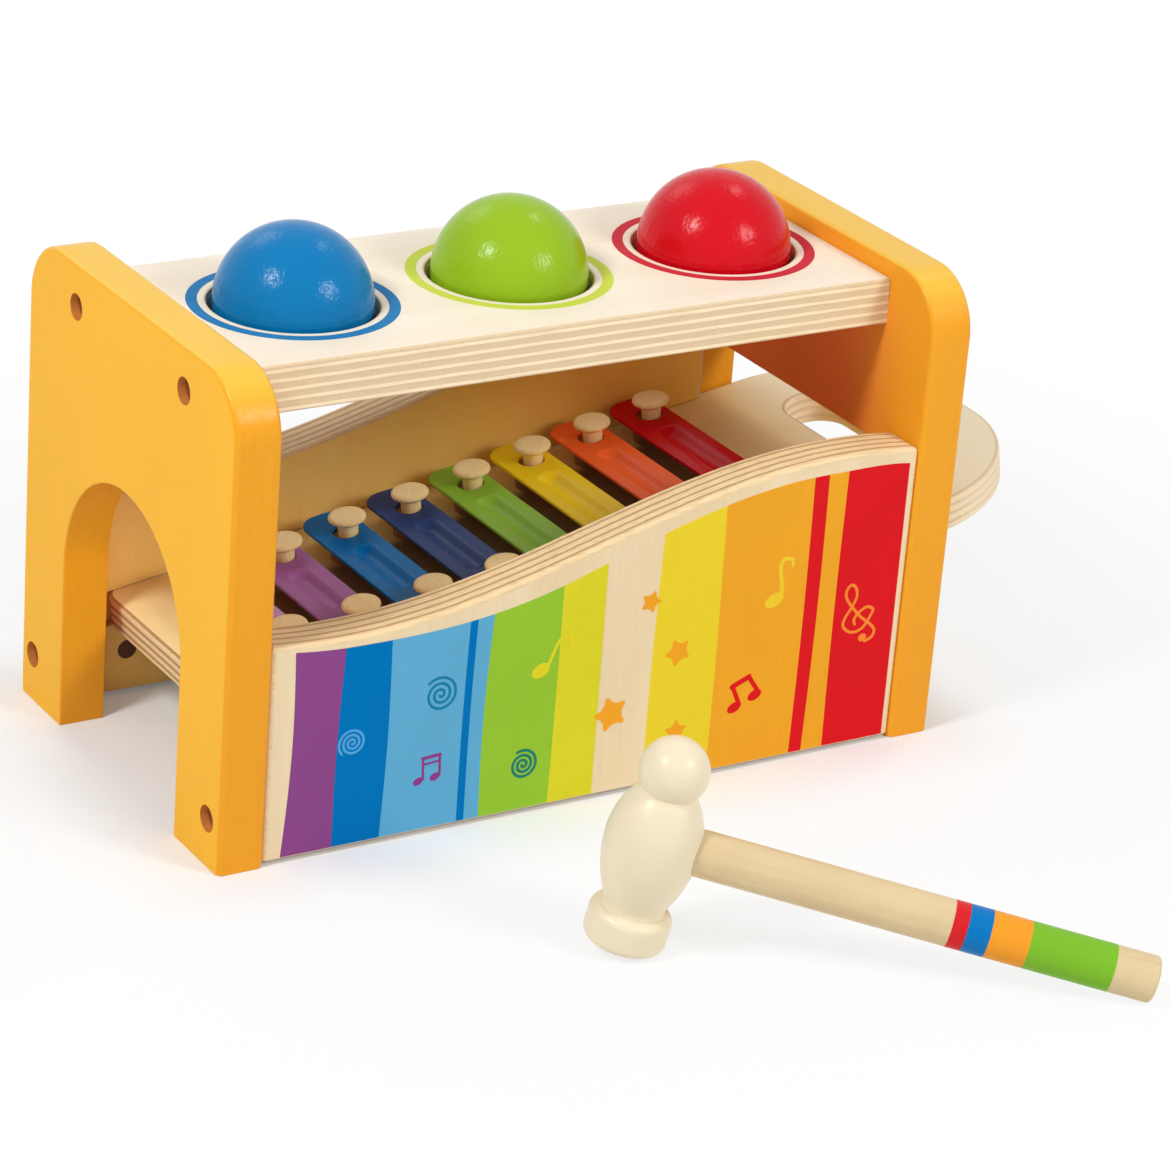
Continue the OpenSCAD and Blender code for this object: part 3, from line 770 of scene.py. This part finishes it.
def note_head(x, y, long_half, short_half, turn=22.0):
    oval = [(u * long_half, v * short_half) for u, v in ring(1.0, 28)]
    return moved(oval, x, y, turn)


def leaning_quaver():
    """Single note that leans to the right, with a hooked flag."""
    line = through([(-1.3, -2.7), (0.0, 0.4), (1.5, 3.8), (3.2, 5.4), (5.0, 5.6), (6.5, 4.2), (6.4, 2.1)])
    return [note_head(-3.5, -3.7, 3.0, 2.1), stroke(line, 0.9, 1.6)]


def upright_quaver():
    """Single upright note with a hooked flag."""
    line = through([(0.8, -3.7), (0.7, -0.4), (-0.1, 3.1), (-0.1, 6.2), (1.4, 7.4), (3.7, 6.6), (3.9, 4.9)])
    return [note_head(-1.5, -5.2, 3.3, 2.1), stroke(line, 1.5, 1.0)]


def double_beam_pair():
    """Two small notes joined by a thick and a thin beam."""
    return [
        note_head(-2.8, -3.3, 1.6, 1.15), note_head(2.45, -2.8, 1.6, 1.15),
        stroke([(-1.3, -3.0), (-1.6, 3.6)], 0.75, 0.75), stroke([(3.95, -2.5), (3.7, 3.9)], 0.75, 0.75),
        stroke([(-1.7, 3.5), (3.8, 3.9)], 1.0, 1.0), stroke([(-1.5, 1.6), (3.8, 2.0)], 0.6, 0.6),
    ]


def broad_beam_pair():
    """Two heavier notes joined by one broad beam."""
    return [
        note_head(-3.0, -4.1, 2.4, 1.6), note_head(3.8, -1.3, 2.4, 1.6),
        stroke([(-1.3, -3.4), (-4.1, 2.7)], 1.4, 1.4), stroke([(5.3, -0.8), (1.2, 5.0)], 1.4, 1.4),
        stroke([(-4.3, 2.7), (1.3, 5.0)], 1.7, 1.7),
    ]


def treble_clef():
    line = through([
        (-1.0, -3.5), (-1.4, -1.9), (0.0, 0.0), (2.7, 1.4), (5.0, 0.4), (4.4, -1.6), (1.7, -5.3),
        (-2.1, -5.9), (-5.0, -3.7), (-4.8, -1.2), (-2.7, 2.1), (-1.3, 5.0), (-1.6, 7.8), (-3.4, 9.4),
        (-5.0, 7.9), (-4.9, 5.6), (-3.1, 2.9), (0.6, -1.2), (4.2, -4.1), (6.2, -6.4), (5.6, -8.6),
        (3.2, -9.6)])
    half = len(line) // 2
    halves = [stroke(part, 0.9, 0.9) for part in (line[:half + 1], line[half:])]
    return halves + [note_head(2.2, -8.3, 1.4, 1.2)]


# Bench

def smooth_share(value, low, high):
    t = min(max((value - low) / (high - low), 0.0), 1.0)
    return t * t * (3 - 2 * t)


def print_top(x):
    """Upper limit of the print: a wave of its own, a little below the panel's."""
    turn = math.pi * (x - PRINT_LOW_AT) / PRINT_RISE_LENGTH
    wave = PRINT_MIDDLE - PRINT_SWING * math.cos(turn) - PRINT_DIP * smooth_share(x, *PRINT_DIP_X)
    return wave + PRINT_LIFT * smooth_share(x, *PRINT_LIFT_X)


def from_bore(point):
    """Distance, across the bench, from the nearest bolt or dowel."""
    local = own_mm(point)
    return min(math.hypot(abs(local.y - BENCH_MIDDLE_Y) - y, local.z - z) for y, z in BORES)


# Slack of the tests for places, and the breadth of the end panels' outer rim
SLACK, NEAR = 0.2, 0.5
RIM, RIM_TOP_Z = 5.0, 130.0


def panel_faces(axis, inward):
    """Material choice of a panel: outer face, edges, inner face, and an end panel's bores."""
    def pick(face):
        if abs(face.normal[axis]) < FLAT:
            in_bore = axis == 0 and from_bore(face.calc_center_median()) < COUNTERBORE + SLACK
            return 3 if in_bore else 1
        return 2 if face.normal[axis] * inward > 0 else 0
    return pick


def groove_or_bore(point):
    """True at the long panels' grooves, bores and feet, whose edges stay sharp."""
    local = own_mm(point)
    tray_top = TRAY_LEFT_Z + (local.x - TRAY_LEFT_X) * math.tan(TRAY_SLOPE)
    beside_tray = -GROOVE_BELOW < local.z - tray_top < GROOVE_ABOVE
    in_groove = beside_tray and GROOVE_FRONT_Y < local.y < GROOVE_REAR_Y
    at_end = not BOARD + NEAR < local.x < BENCH_LENGTH - BOARD - NEAR
    nut = math.hypot(local.z - NUT_Z, min(abs(local.x - x) for x in NUT_X)) < NUT_REACH
    return in_groove or (at_end and from_bore(point) < BORE_REACH) or nut or local.z < PANEL_FOOT + NEAR


def bore_or_foot(point):
    """True at the end panels' bores and feet, whose edges stay sharp."""
    return from_bore(point) < BORE_REACH + NEAR or point.z < NEAR * MM


def inside_outline(point):
    """True at the arch and the slot, which are cut inside the end panels' outline."""
    local = own_mm(point)
    return RIM < local.y < BENCH_DEPTH - RIM and local.z < RIM_TOP_Z


def build_bench():
    bore = turned_wood("raw_bore", RAW_BORE, shade(RAW_BORE, 0.75), evenly(900.0))
    for side, start, inward in (("left", 0.0, 1), ("right", BENCH_LENGTH - BOARD, -1)):
        middle = at(start + BOARD / 2, 0, 0).x
        eased(
            f"{side}_end_panel", f"{side}_end_panel_painted", "bench",
            [
                paint(f"orange_{side}_outside", ORANGE, specular=0.10),
                painted_edge(f"orange_{side}_edge", ORANGE_RIM, ORANGE_EDGE, 0, middle, PANEL_PLY),
                # Inner face: redder painted shade, with painted light near its front and above the top
                # board
                paint(f"orange_{side}_inside", ORANGE_INSIDE_PAINTED_SHADE, specular=0.10, lit=ORANGE_RIM),
                bore,
            ],
            panel_faces(0, inward), END_EDGE, steps=4, skip=bore_or_foot, fine=inside_outline)

    low_side = at(0, 0, BOARD_TOP - BOARD_EASED_DEPTH).z
    eased(
        "top_board", "top_board_wood", "bench",
        [
            veneer("birch_board", 0, PALE_BIRCH, PALE_BIRCH_STREAK),
            ply_edge("ply_board", 2, at(0, 0, BOARD_TOP - BOARD / 2).z, BOARD_PLY, 0.34,
                     srgb(255, 236, 200), srgb(224, 198, 159), phase=0.125),
        ],
        board_faces, BOARD_EDGE, steps=2, skip=lambda p: p.z < low_side)

    for node, start, inward, light, line in (
        ("front_panel", PANEL_FRONT_Y, 1, srgb(243, 216, 170), srgb(192, 152, 100)),
        ("rear_panel", PANEL_REAR_Y, -1, srgb(232, 200, 156), srgb(186, 146, 104)),
    ):
        eased(
            node, f"{node}_wood", "bench",
            [
                veneer(f"birch_{node}", 2),
                ply_edge(f"ply_{node}", 1, at(0, start + BOARD / 2, 0).y, PANEL_PLY, 0.84,
                         light, line),
                # Inner face: warmer colour that paints bounce light in the shade, warmest towards the right
                # end panel
                veneer(f"birch_{node}_inside", 2, HONEY_PAINTED_BOUNCE, HONEY_PAINTED_BOUNCE_STREAK, painted_warm_bounce),
            ],
            panel_faces(1, inward), LONG_EDGE, skip=groove_or_bore)


STRIPES = [
    # colour, then x of the left edge at the top and at the bottom, and its bow to the right
    ("purple", srgb(142, 74, 139), 21.2, 19.3, 1.2),
    ("blue", srgb(0, 117, 188), 36.6, 35.1, -0.6),
    ("sky", srgb(98, 174, 214), 50.8, 50.0, 0.7),
    ("blue", None, 75.2, 74.6, -0.4),
    ("sky", None, 77.6, 77.0, -0.4),
    ("green", srgb(152, 199, 56), 82.7, 81.7, -0.9),
    ("lime", srgb(222, 214, 46), 104.6, 104.2, 0.2),
    ("bare", None, 118.6, 118.9, 0.0),
    ("yellow", srgb(238, 212, 50), 136.7, 135.9, -0.4),
    ("orange", srgb(241, 168, 44), 156.8, 157.7, 0.4),
    ("red", srgb(221, 29, 36), 186.3, 186.4, 0.5),
    ("orange", None, 191.3, 190.8, 0.6),
    ("red", None, 198.0, 198.2, -0.4),
    ("bare", None, 219.3, 219.6, 0.0),
]


def stripe_edge(top_x, bottom_x, bow, rows=20):
    """Line between two stripes, from the panel's foot to the print's upper limit."""
    head = print_top(top_x)
    points = []
    for i in range(rows + 1):
        share = i / rows
        x = bottom_x + (top_x - bottom_x) * share + bow * math.sin(math.pi * share)
        points.append((x, PRINT_FOOT + (head - PRINT_FOOT) * share))
    return points


def on_front(x, z, height):
    return at(x, PANEL_FRONT_Y - height, z)


def on_board(x, y, height):
    return at(x, y, BOARD_TOP + height)


def build_stripes():
    inks = {name: ink(f"print_{name}", colour) for name, colour, *_ in STRIPES if colour}
    order = list(inks)
    stripes = []
    for (name, _, *left), (_, _, *right) in zip(STRIPES, STRIPES[1:]):
        if name == "bare":
            continue
        steps = max(2, int((right[0] - left[0]) / STRIPE_STEP))
        places = [left[0] + (right[0] - left[0]) * i / steps for i in range(1, steps)]
        top = [(x, print_top(x)) for x in places]
        outline = stripe_edge(*right) + top[::-1] + stripe_edge(*left)[::-1]
        stripes.append(([outline], order.index(name), 0.0))
    printed("front_stripes", stripes, list(inks.values()), on_front, STRIPE_LAYER)


def build_figures():
    inks = {
        "teal": srgb(28, 128, 170), "pale": srgb(84, 166, 222), "deep": srgb(38, 130, 110),
        "violet": srgb(146, 62, 140), "scarlet": srgb(222, 30, 34), "lemon": srgb(228, 215, 44),
        "amber": srgb(245, 166, 42), "gold": srgb(243, 205, 52), "flame": srgb(247, 140, 56),
    }
    order = list(inks)
    parts = []
    for shapes, x, z, turn, name in (
        (spiral(5.4, 2.75, 0.8), 67.0, 42.4, 225.0, "teal"),
        (spiral(4.3, 2.9, 0.75), 40.0, 32.7, 260.0, "pale"),
        (spiral(4.6, 2.8, 0.9), 95.3, 15.4, 190.0, "deep"),
        (double_beam_pair(), 64.3, 20.0, 0.0, "violet"),
        (broad_beam_pair(), 168.6, 24.3, 0.0, "scarlet"),
        (leaning_quaver(), 102.4, 47.6, 0.0, "lemon"),
        (upright_quaver(), 177.6, 57.6, 0.0, "gold"),
        (star(3.9), 133.9, 59.0, -21.0, "amber"),
        (star(5.0), 144.5, 41.6, 25.0, "amber"),
        (star(6.3), 123.4, 26.0, 18.0, "amber"),
        (star(4.2), 146.0, 16.2, 0.0, "amber"),
        (treble_clef(), 206.6, 43.3, 0.0, "flame"),
    ):
        for level, outline in enumerate(shapes):
            parts.append(([moved(outline, x, z, turn)], order.index(name), STROKE_LIFT * level))
    materials = [ink(f"figure_{name}", colour) for name, colour in inks.items()]
    printed("front_figures", parts, materials, on_front, FIGURE_LAYER)


def build_rings():
    colours = {"blue": srgb(46, 126, 182), "green": srgb(206, 218, 82), "red": srgb(207, 52, 66)}
    circles = []
    for index, x in enumerate(BALL_HOLE_X):
        loops = [moved(ring(radius), x, BENCH_MIDDLE_Y) for radius in (RING_OUTER, RING_INNER)]
        circles.append((loops, index, 0.0))
    materials = [ink(f"ring_{name}", colour, 0) for name, colour in colours.items()]
    printed("printed_rings", circles, materials, on_board, RING_LAYER)


def build_balls():
    for node, colour in (
        ("blue_ball", srgb(0, 119, 180)),
        ("green_ball", srgb(150, 188, 30)),
        ("red_ball", srgb(212, 6, 28)),
    ):
        gloss = paint(f"gloss_{node}", colour, 0.16, 0.16, peel=1000.0, depth=0.14, strength=0.8)
        plain(node, gloss)
    for node in BALL_RINGS:
        plain(node, rubber(f"rubber_{node}", srgb(58, 52, 46)))


# Tray

def tray_frame():
    turn = Matrix.Rotation(-TRAY_SLOPE, 4, "Y")
    return Matrix.Translation(at(TRAY_LEFT_X, BENCH_MIDDLE_Y, TRAY_LEFT_Z)) @ turn


BAR_COLOURS = {
    "lilac": srgb(208, 150, 200),
    "purple": srgb(170, 104, 166),
    "blue": srgb(0, 114, 188),
    "navy": srgb(50, 73, 130),
    "green": srgb(148, 200, 66),
    "yellow": srgb(255, 222, 36),
    "orange": srgb(255, 110, 46),
    "red": srgb(207, 8, 22),
}


def from_short_to_long(i, short, long):
    return short + (long - short) * i / (len(BAR_COLOURS) - 1)


def peg_at(i):
    """Place of a bar's pegs: along the tray, and from its middle line."""
    return FIRST_BAR_AT + BAR_PITCH * i, from_short_to_long(i, SHORT_PEG, LONG_PEG)


def near_peg(point):
    """True near a peg's bore in the tray, in the tray's own frame."""
    for i in range(len(BAR_COLOURS)):
        x, y = peg_at(i)
        if math.hypot(point.x / MM - x, abs(point.y / MM) - y) < PEG_BORE_REACH:
            return True
    return False


def round_over(radius, steps=4):
    """Insets and depths of a rounded upper edge, from the flat to the side."""
    turns = [math.pi / 2 * i / steps for i in range(steps + 1)]
    return [(radius * (1 - math.sin(t)), radius * (1 - math.cos(t))) for t in turns]


def pressed_bar(length, peg):
    """Strip with round corners, soft edges, two peg holes and a pressed trough, its top at zero."""
    shape = bmesh.new()

    def loop(points, depth):
        return [shape.verts.new((u * MM, v * MM, -depth * MM)) for u, v in points]

    def rim(outline, radius):
        """Loops down a soft-edged wall, where outline gives the loop for an inset."""
        upper = round_over(radius)
        lower = [(inset, BAR_THICKNESS - depth) for inset, depth in reversed(upper)]
        loops = [loop(outline(inset), depth) for inset, depth in upper + lower]
        for first, second in zip(loops, loops[1:]):
            bridge(shape, first, second)
        return loops[0], loops[-1]

    def trough(base):
        run = peg - TROUGH_END_GAP - TROUGH_WIDTH / 2
        loops = []
        for i in range(TROUGH_STEPS + 1):
            share = 1 - i / TROUGH_STEPS
            half = max(TROUGH_WIDTH / 2 * share, TROUGH_KEEL)
            depth = TROUGH_DEPTH * (1 + math.cos(math.pi * share)) / 2
            loops.append(loop(round_box(half, run + half, half), base + depth))
        for first, second in zip(loops, loops[1:]):
            bridge(shape, first, second)
        shape.faces.new(loops[-1])
        return loops[0]

    def outline(inset):
        return round_box(BAR_WIDTH / 2 - inset, length / 2 - inset, BAR_CORNER - inset)

    rims = [rim(outline, BAR_EDGE)]
    for side in (-1, 1):
        rims.append(rim(
            lambda inset: moved(ring(PEG_HOLE + inset, 32), PEG_HOLE_SHIFT, side * peg), BAR_HOLE_EDGE))
    for level, base in enumerate((0.0, BAR_THICKNESS)):
        loops = [pair[level] for pair in rims] + [trough(base)]
        verts = [vert for one in loops for vert in one]
        for triangle in tessellate_polygon([[Vector((*vert.co.xy, 0.0)) for vert in one] for one in loops]):
            shape.faces.new([verts[i] for i in triangle])
    bmesh.ops.remove_doubles(shape, verts=shape.verts, dist=WELD * MM)
    bmesh.ops.dissolve_degenerate(shape, edges=shape.edges, dist=SLIVER * MM)
    return shape


# Outline of a peg's head, from below: depth under its top, and inset from its rim
PEG_HEAD_OUTLINE = [
    (2.3, 1.3), (2.1, 0.6), (1.8, 0.15), (1.4, 0.0), (0.9, 0.1), (0.5, 0.45), (0.25, 1.1), (0.1, 2.6)]


def peg_profile():
    """Peg from its foot in the tray to its slightly domed head, which is hollowed below."""
    stem = [
        (PEG_FOOT, 0.0, 0), (PEG_FOOT, PEG_STEM, 0),
        (PEG_TOP - PEG_NECK_LOW, PEG_STEM, 0), (PEG_TOP - PEG_NECK_HIGH, PEG_STEM + PEG_NECK_FLARE, 0),
    ]
    head = [(PEG_TOP - down, PEG_HEAD - inwards, 0) for down, inwards in PEG_HEAD_OUTLINE]
    return stem + head + [(PEG_TOP, 0.0, 0)]


def build_tray():
    place = tray_frame()
    eased(
        "xylophone_tray", "xylophone_tray_wood", "tray",
        [
            # Warm tray colour inside the bench, with painted light towards the handle and painted shade
            # between the pegs
            veneer("birch_tray", 0, srgb(247, 222, 160), srgb(234, 202, 136), tray_painted_light_and_shade),
            ply_edge("ply_tray", 2, -TRAY_THICKNESS / 2 * MM, TRAY_PLY, 0.70,
                     srgb(240, 212, 164), srgb(172, 126, 78), phase=0.5, ground=tray_edge_painted_light),
        ],
        board_faces, TRAY_EDGE, skip=near_peg, place=place)
    for i, (name, colour) in enumerate(BAR_COLOURS.items()):
        node = f"{name}_bar"
        peg_x, peg_y = peg_at(i)
        shape = pressed_bar(from_short_to_long(i, SHORT_BAR, LONG_BAR), peg_y)
        seat = Matrix.Translation(Vector((peg_x - BAR_SHIFT - PEG_HOLE_SHIFT, 0.0, BAR_TOP)) * MM)
        piece = link(f"{node}_enamelled", shape, [enamel(f"enamel_{name}", colour)], node, place @ seat)
        stands_for(piece, node)
    peg_wood = turned_wood("peg_wood", srgb(255, 229, 166), srgb(242, 204, 138), (700.0, 700.0, 90.0), 0.12)
    for node, side in (("front_pegs", -1), ("rear_pegs", 1)):
        shape = bmesh.new()
        for i in range(len(BAR_COLOURS)):
            x, y = peg_at(i)
            foot = Matrix.Translation(Vector((x, side * y, 0.0)) * MM)
            turn_round(shape, peg_profile(), 40, foot @ UPRIGHT)
        stands_for(link(f"{node}_turned", shape, [peg_wood], "tray", place), node)
    washer = felt("washer_felt", srgb(178, 128, 84))
    for node in ("front_felts", "rear_felts"):
        plain(node, washer)


def build_hardware():
    steel = metal("plated_steel", srgb(150, 96, 76), srgb(206, 166, 150), 0.36)
    for node in ("left_bolts", "right_bolts"):
        plain(node, steel)
    plain("barrel_nuts", metal("bronzed_steel", srgb(70, 44, 38), srgb(112, 74, 62), 0.45))
    beech = turned_wood("dowel_wood", srgb(232, 205, 160), srgb(205, 170, 120), (90.0, 700.0, 700.0))
    plain("locating_dowels", beech)


# Hammer

def hammer_frame():
    """Frame of the hammer as it lies: X along the handle, Z along the head."""
    rim_z, rim_x = -DISC_FOOT - DISC_EDGE, DISC_RADIUS - DISC_EDGE
    rise, run = rim_z - HANDLE_RADIUS, HANDLE_LENGTH - HANDLE_CHAMFER - rim_x
    lean = math.atan2(rise, run) + math.asin(DISC_EDGE / math.hypot(rise, run))
    axis_z = rim_z * math.cos(lean) + rim_x * math.sin(lean) + DISC_EDGE
    turn = Matrix.Rotation(-HAMMER_TURN, 4, "Z") @ Matrix.Rotation(lean, 4, "Y")
    return Matrix.Translation(at(HAMMER_X, HAMMER_Y, axis_z)) @ turn


def head_radius(z):
    """Radius of the turned head above its disc: belly and knob, with soft hollows between."""
    curve = BELLY_UPPER_CURVE if z > 0 else BELLY_LOWER_CURVE
    belly = BELLY_RADIUS - curve + math.sqrt(max(curve ** 2 - z ** 2, 0.0))
    knob = math.sqrt(max(KNOB_RADIUS ** 2 - (z - KNOB_HEIGHT) ** 2, 0.0))
    softness = max(NECK_BLEND - abs(belly - knob), 0.0)
    joined = max(belly, knob) + softness ** 2 / (4 * NECK_BLEND)
    foot = max(1.0 - (z - DISC_TOP) / FOOT_FILLET_HEIGHT, 0.0)
    return joined + FOOT_FILLET * foot ** 2


def build_hammer():
    place = hammer_frame()
    cream = paint("cream_paint", srgb(238, 224, 193), roughness=0.31, specular=0.3, peel=600.0)
    centre = DISC_RADIUS - DISC_EDGE
    rim = [(DISC_EDGE * (1 - math.cos(turn)), centre + DISC_EDGE * math.sin(turn))
           for turn in (math.pi / 2 * i / 8 for i in range(9))]
    profile = [(DISC_FOOT, 0.0, 0)]
    profile += [(DISC_FOOT + rise, radius, 0) for rise, radius in rim]
    profile += [(DISC_TOP - rise, radius, 0) for rise, radius in reversed(rim)]
    top = KNOB_HEIGHT + KNOB_RADIUS
    for i in range(1, HEAD_ROWS):
        # Rows lie closer together towards the knob's top
        share = 1 - (1 - i / HEAD_ROWS) ** ROWS_CROWD
        z = DISC_TOP + (top - DISC_TOP) * share
        profile.append((z, min(head_radius(z), BELLY_RADIUS), 0))
    profile.append((top, 0.0, 0))
    head = lathe("hammer_head_turned", profile, [cream], "hammer", place @ UPRIGHT)
    stands_for(head, "hammer_head")

    wood = turned_wood("handle_wood", srgb(222, 199, 155), srgb(209, 182, 138), (22.0, 620.0, 620.0))
    bands = [
        ("red", srgb(216, 34, 40), 81.5), ("blue", srgb(0, 118, 190), 85.6),
        ("orange", srgb(243, 158, 42), 91.9), ("green", srgb(124, 186, 44), 102.6),
    ]
    materials = [wood]
    for name, colour, _ in bands:
        materials.append(paint(f"band_{name}", colour, specular=0.12, grain_axis=0))
    materials.append(end_grain("handle_end", srgb(238, 218, 180), srgb(206, 172, 124)))
    bare = HANDLE_RADIUS - PAINT_THICKNESS
    profile = [(0.0, 0.0, 0), (0.0, bare, 0)]
    for index, (_, _, start) in enumerate(bands, 1):
        profile.append((start, profile[-1][1], index))
        profile.append((start + PAINT_THICKNESS, HANDLE_RADIUS, index))
    profile += [
        (GREEN_BAND_END - PAINT_THICKNESS, HANDLE_RADIUS, len(bands)), (GREEN_BAND_END, bare, 0),
        (HANDLE_LENGTH - HANDLE_CHAMFER, bare, 0),
        (HANDLE_LENGTH - 0.3 * HANDLE_CHAMFER, bare - 0.45 * HANDLE_CHAMFER, 0),
        (HANDLE_LENGTH, bare - HANDLE_CHAMFER, len(bands) + 1),
        (HANDLE_LENGTH, 0.0, 0),
    ]
    handle = lathe("hammer_handle_turned", profile, materials, "hammer", place, sides=56)
    stands_for(handle, "hammer_handle")


# Stage

WHITE = (1.0, 1.0, 1.0, 1.0)
SKY_STRENGTH = 0.42
FLOOR_GREY = (0.88, 0.88, 0.88, 1.0)
FLOOR_SIZE, FLOOR_DROP = 12.0, 0.1

# Share of plain white in the floor: at the bench, and what two soft steps away from it add
CLEAR_AT, CLEAR_BESIDE, CLEAR_FAR = 0.1, 0.62, 0.30

# Those two steps, in metres from the bench
BESIDE, FAR_OFF = (-0.005, 0.035), (0.0, 0.3)

LAMP_DISTANCE = 1.15
LAMP_TARGET_Z = 90.0


def seen_share(tree):
    """1 where a camera, mirror or glass looks straight at the background."""
    light_path = add(tree, "ShaderNodeLightPath").outputs
    seen = maths(tree, "MAXIMUM", light_path["Is Camera Ray"], light_path["Is Glossy Ray"])
    return maths(tree, "MAXIMUM", seen, light_path["Is Transmission Ray"])


def build_floor():
    bpy.ops.mesh.primitive_plane_add(size=FLOOR_SIZE, location=(0.0, 0.0, -FLOOR_DROP * MM))
    floor = bpy.context.object
    floor.name = "floor"
    material = bpy.data.materials.new("white_floor")
    material.use_nodes = True
    tree = material.node_tree
    tree.nodes.remove(tree.nodes["Principled BSDF"])
    matte = add(tree, "ShaderNodeBsdfDiffuse", {"Color": FLOOR_GREY})
    glow = add(tree, "ShaderNodeEmission", {"Color": WHITE, "Strength": 1.0})
    half = Vector((BENCH_LENGTH / 2, BENCH_MIDDLE_Y, 0.0)) * MM
    middle = at(BENCH_LENGTH / 2, BENCH_MIDDLE_Y, 0)
    nothing = (0.0, 0.0, 0.0)
    spread = own_place(tree)
    for operation, other in (
        ("SUBTRACT", middle), ("ABSOLUTE", nothing), ("SUBTRACT", half), ("MAXIMUM", nothing),
    ):
        node = add(tree, "ShaderNodeVectorMath", {0: spread, 1: other}, operation=operation)
        spread = node.outputs[0]
    reach = add(tree, "ShaderNodeVectorMath", {0: spread}, operation="LENGTH").outputs["Value"]
    near = maths(tree, "MULTIPLY_ADD", between(tree, reach, *BESIDE), CLEAR_BESIDE, CLEAR_AT)
    clear = maths(tree, "MULTIPLY_ADD", between(tree, reach, *FAR_OFF), CLEAR_FAR, near)
    mixed = add(tree, "ShaderNodeMixShader", {
        0: maths(tree, "MULTIPLY", seen_share(tree), clear), 1: matte.outputs[0], 2: glow.outputs[0]})
    tree.links.new(mixed.outputs[0], tree.nodes["Material Output"].inputs["Surface"])
    floor.data.materials.append(material)


def build_light():
    world = bpy.data.worlds.new("studio")
    world.use_nodes = True
    bpy.context.scene.world = world
    tree = world.node_tree
    sky = add(tree, "ShaderNodeBackground", {"Color": WHITE, "Strength": SKY_STRENGTH})
    backdrop = add(tree, "ShaderNodeBackground", {"Color": WHITE, "Strength": 1.0})
    mixed = add(tree, "ShaderNodeMixShader", {
        0: seen_share(tree), 1: sky.outputs[0], 2: backdrop.outputs[0]})
    tree.links.new(mixed.outputs[0], tree.nodes["World Output"].inputs["Surface"])

    target = at(BENCH_LENGTH / 2, BENCH_MIDDLE_Y, LAMP_TARGET_Z)
    for name, direction, power, size in (
        # direction from the bench, power in watts, diameter in metres
        ("left_lamp", (-0.69, -0.18, 0.70), 6.6, 0.25),
        ("front_lamp", (0.38, -0.77, 0.51), 4.7, 0.32),
        ("right_lamp", (0.53, 0.19, 0.83), 0.8, 0.16),
        ("rear_lamp", (-0.10, 0.74, 0.66), 1.0, 0.46),
    ):
        data = bpy.data.lights.new(name, "AREA")
        data.shape = "DISK"
        data.size = size
        data.energy = power
        lamp = bpy.data.objects.new(name, data)
        bpy.context.scene.collection.objects.link(lamp)
        lamp.location = target + Vector(direction).normalized() * LAMP_DISTANCE
        lamp.rotation_euler = (target - lamp.location).to_track_quat("-Z", "Y").to_euler()


def build_camera():
    data = bpy.data.cameras.new("camera")
    data.sensor_width = 36.0
    data.lens = CAMERA_LENS
    data.clip_end = 50.0
    camera = bpy.data.objects.new("camera", data)
    bpy.context.scene.collection.objects.link(camera)
    camera.location = at(*CAMERA_AT)
    camera.rotation_euler = [math.radians(angle) for angle in CAMERA_TURN]
    bpy.context.scene.camera = camera


build_camera()
build_bench()
build_stripes()
build_figures()
build_rings()
build_balls()
build_tray()
build_hardware()
build_hammer()
build_floor()
build_light()
bpy.context.scene.view_settings.view_transform = "Standard"
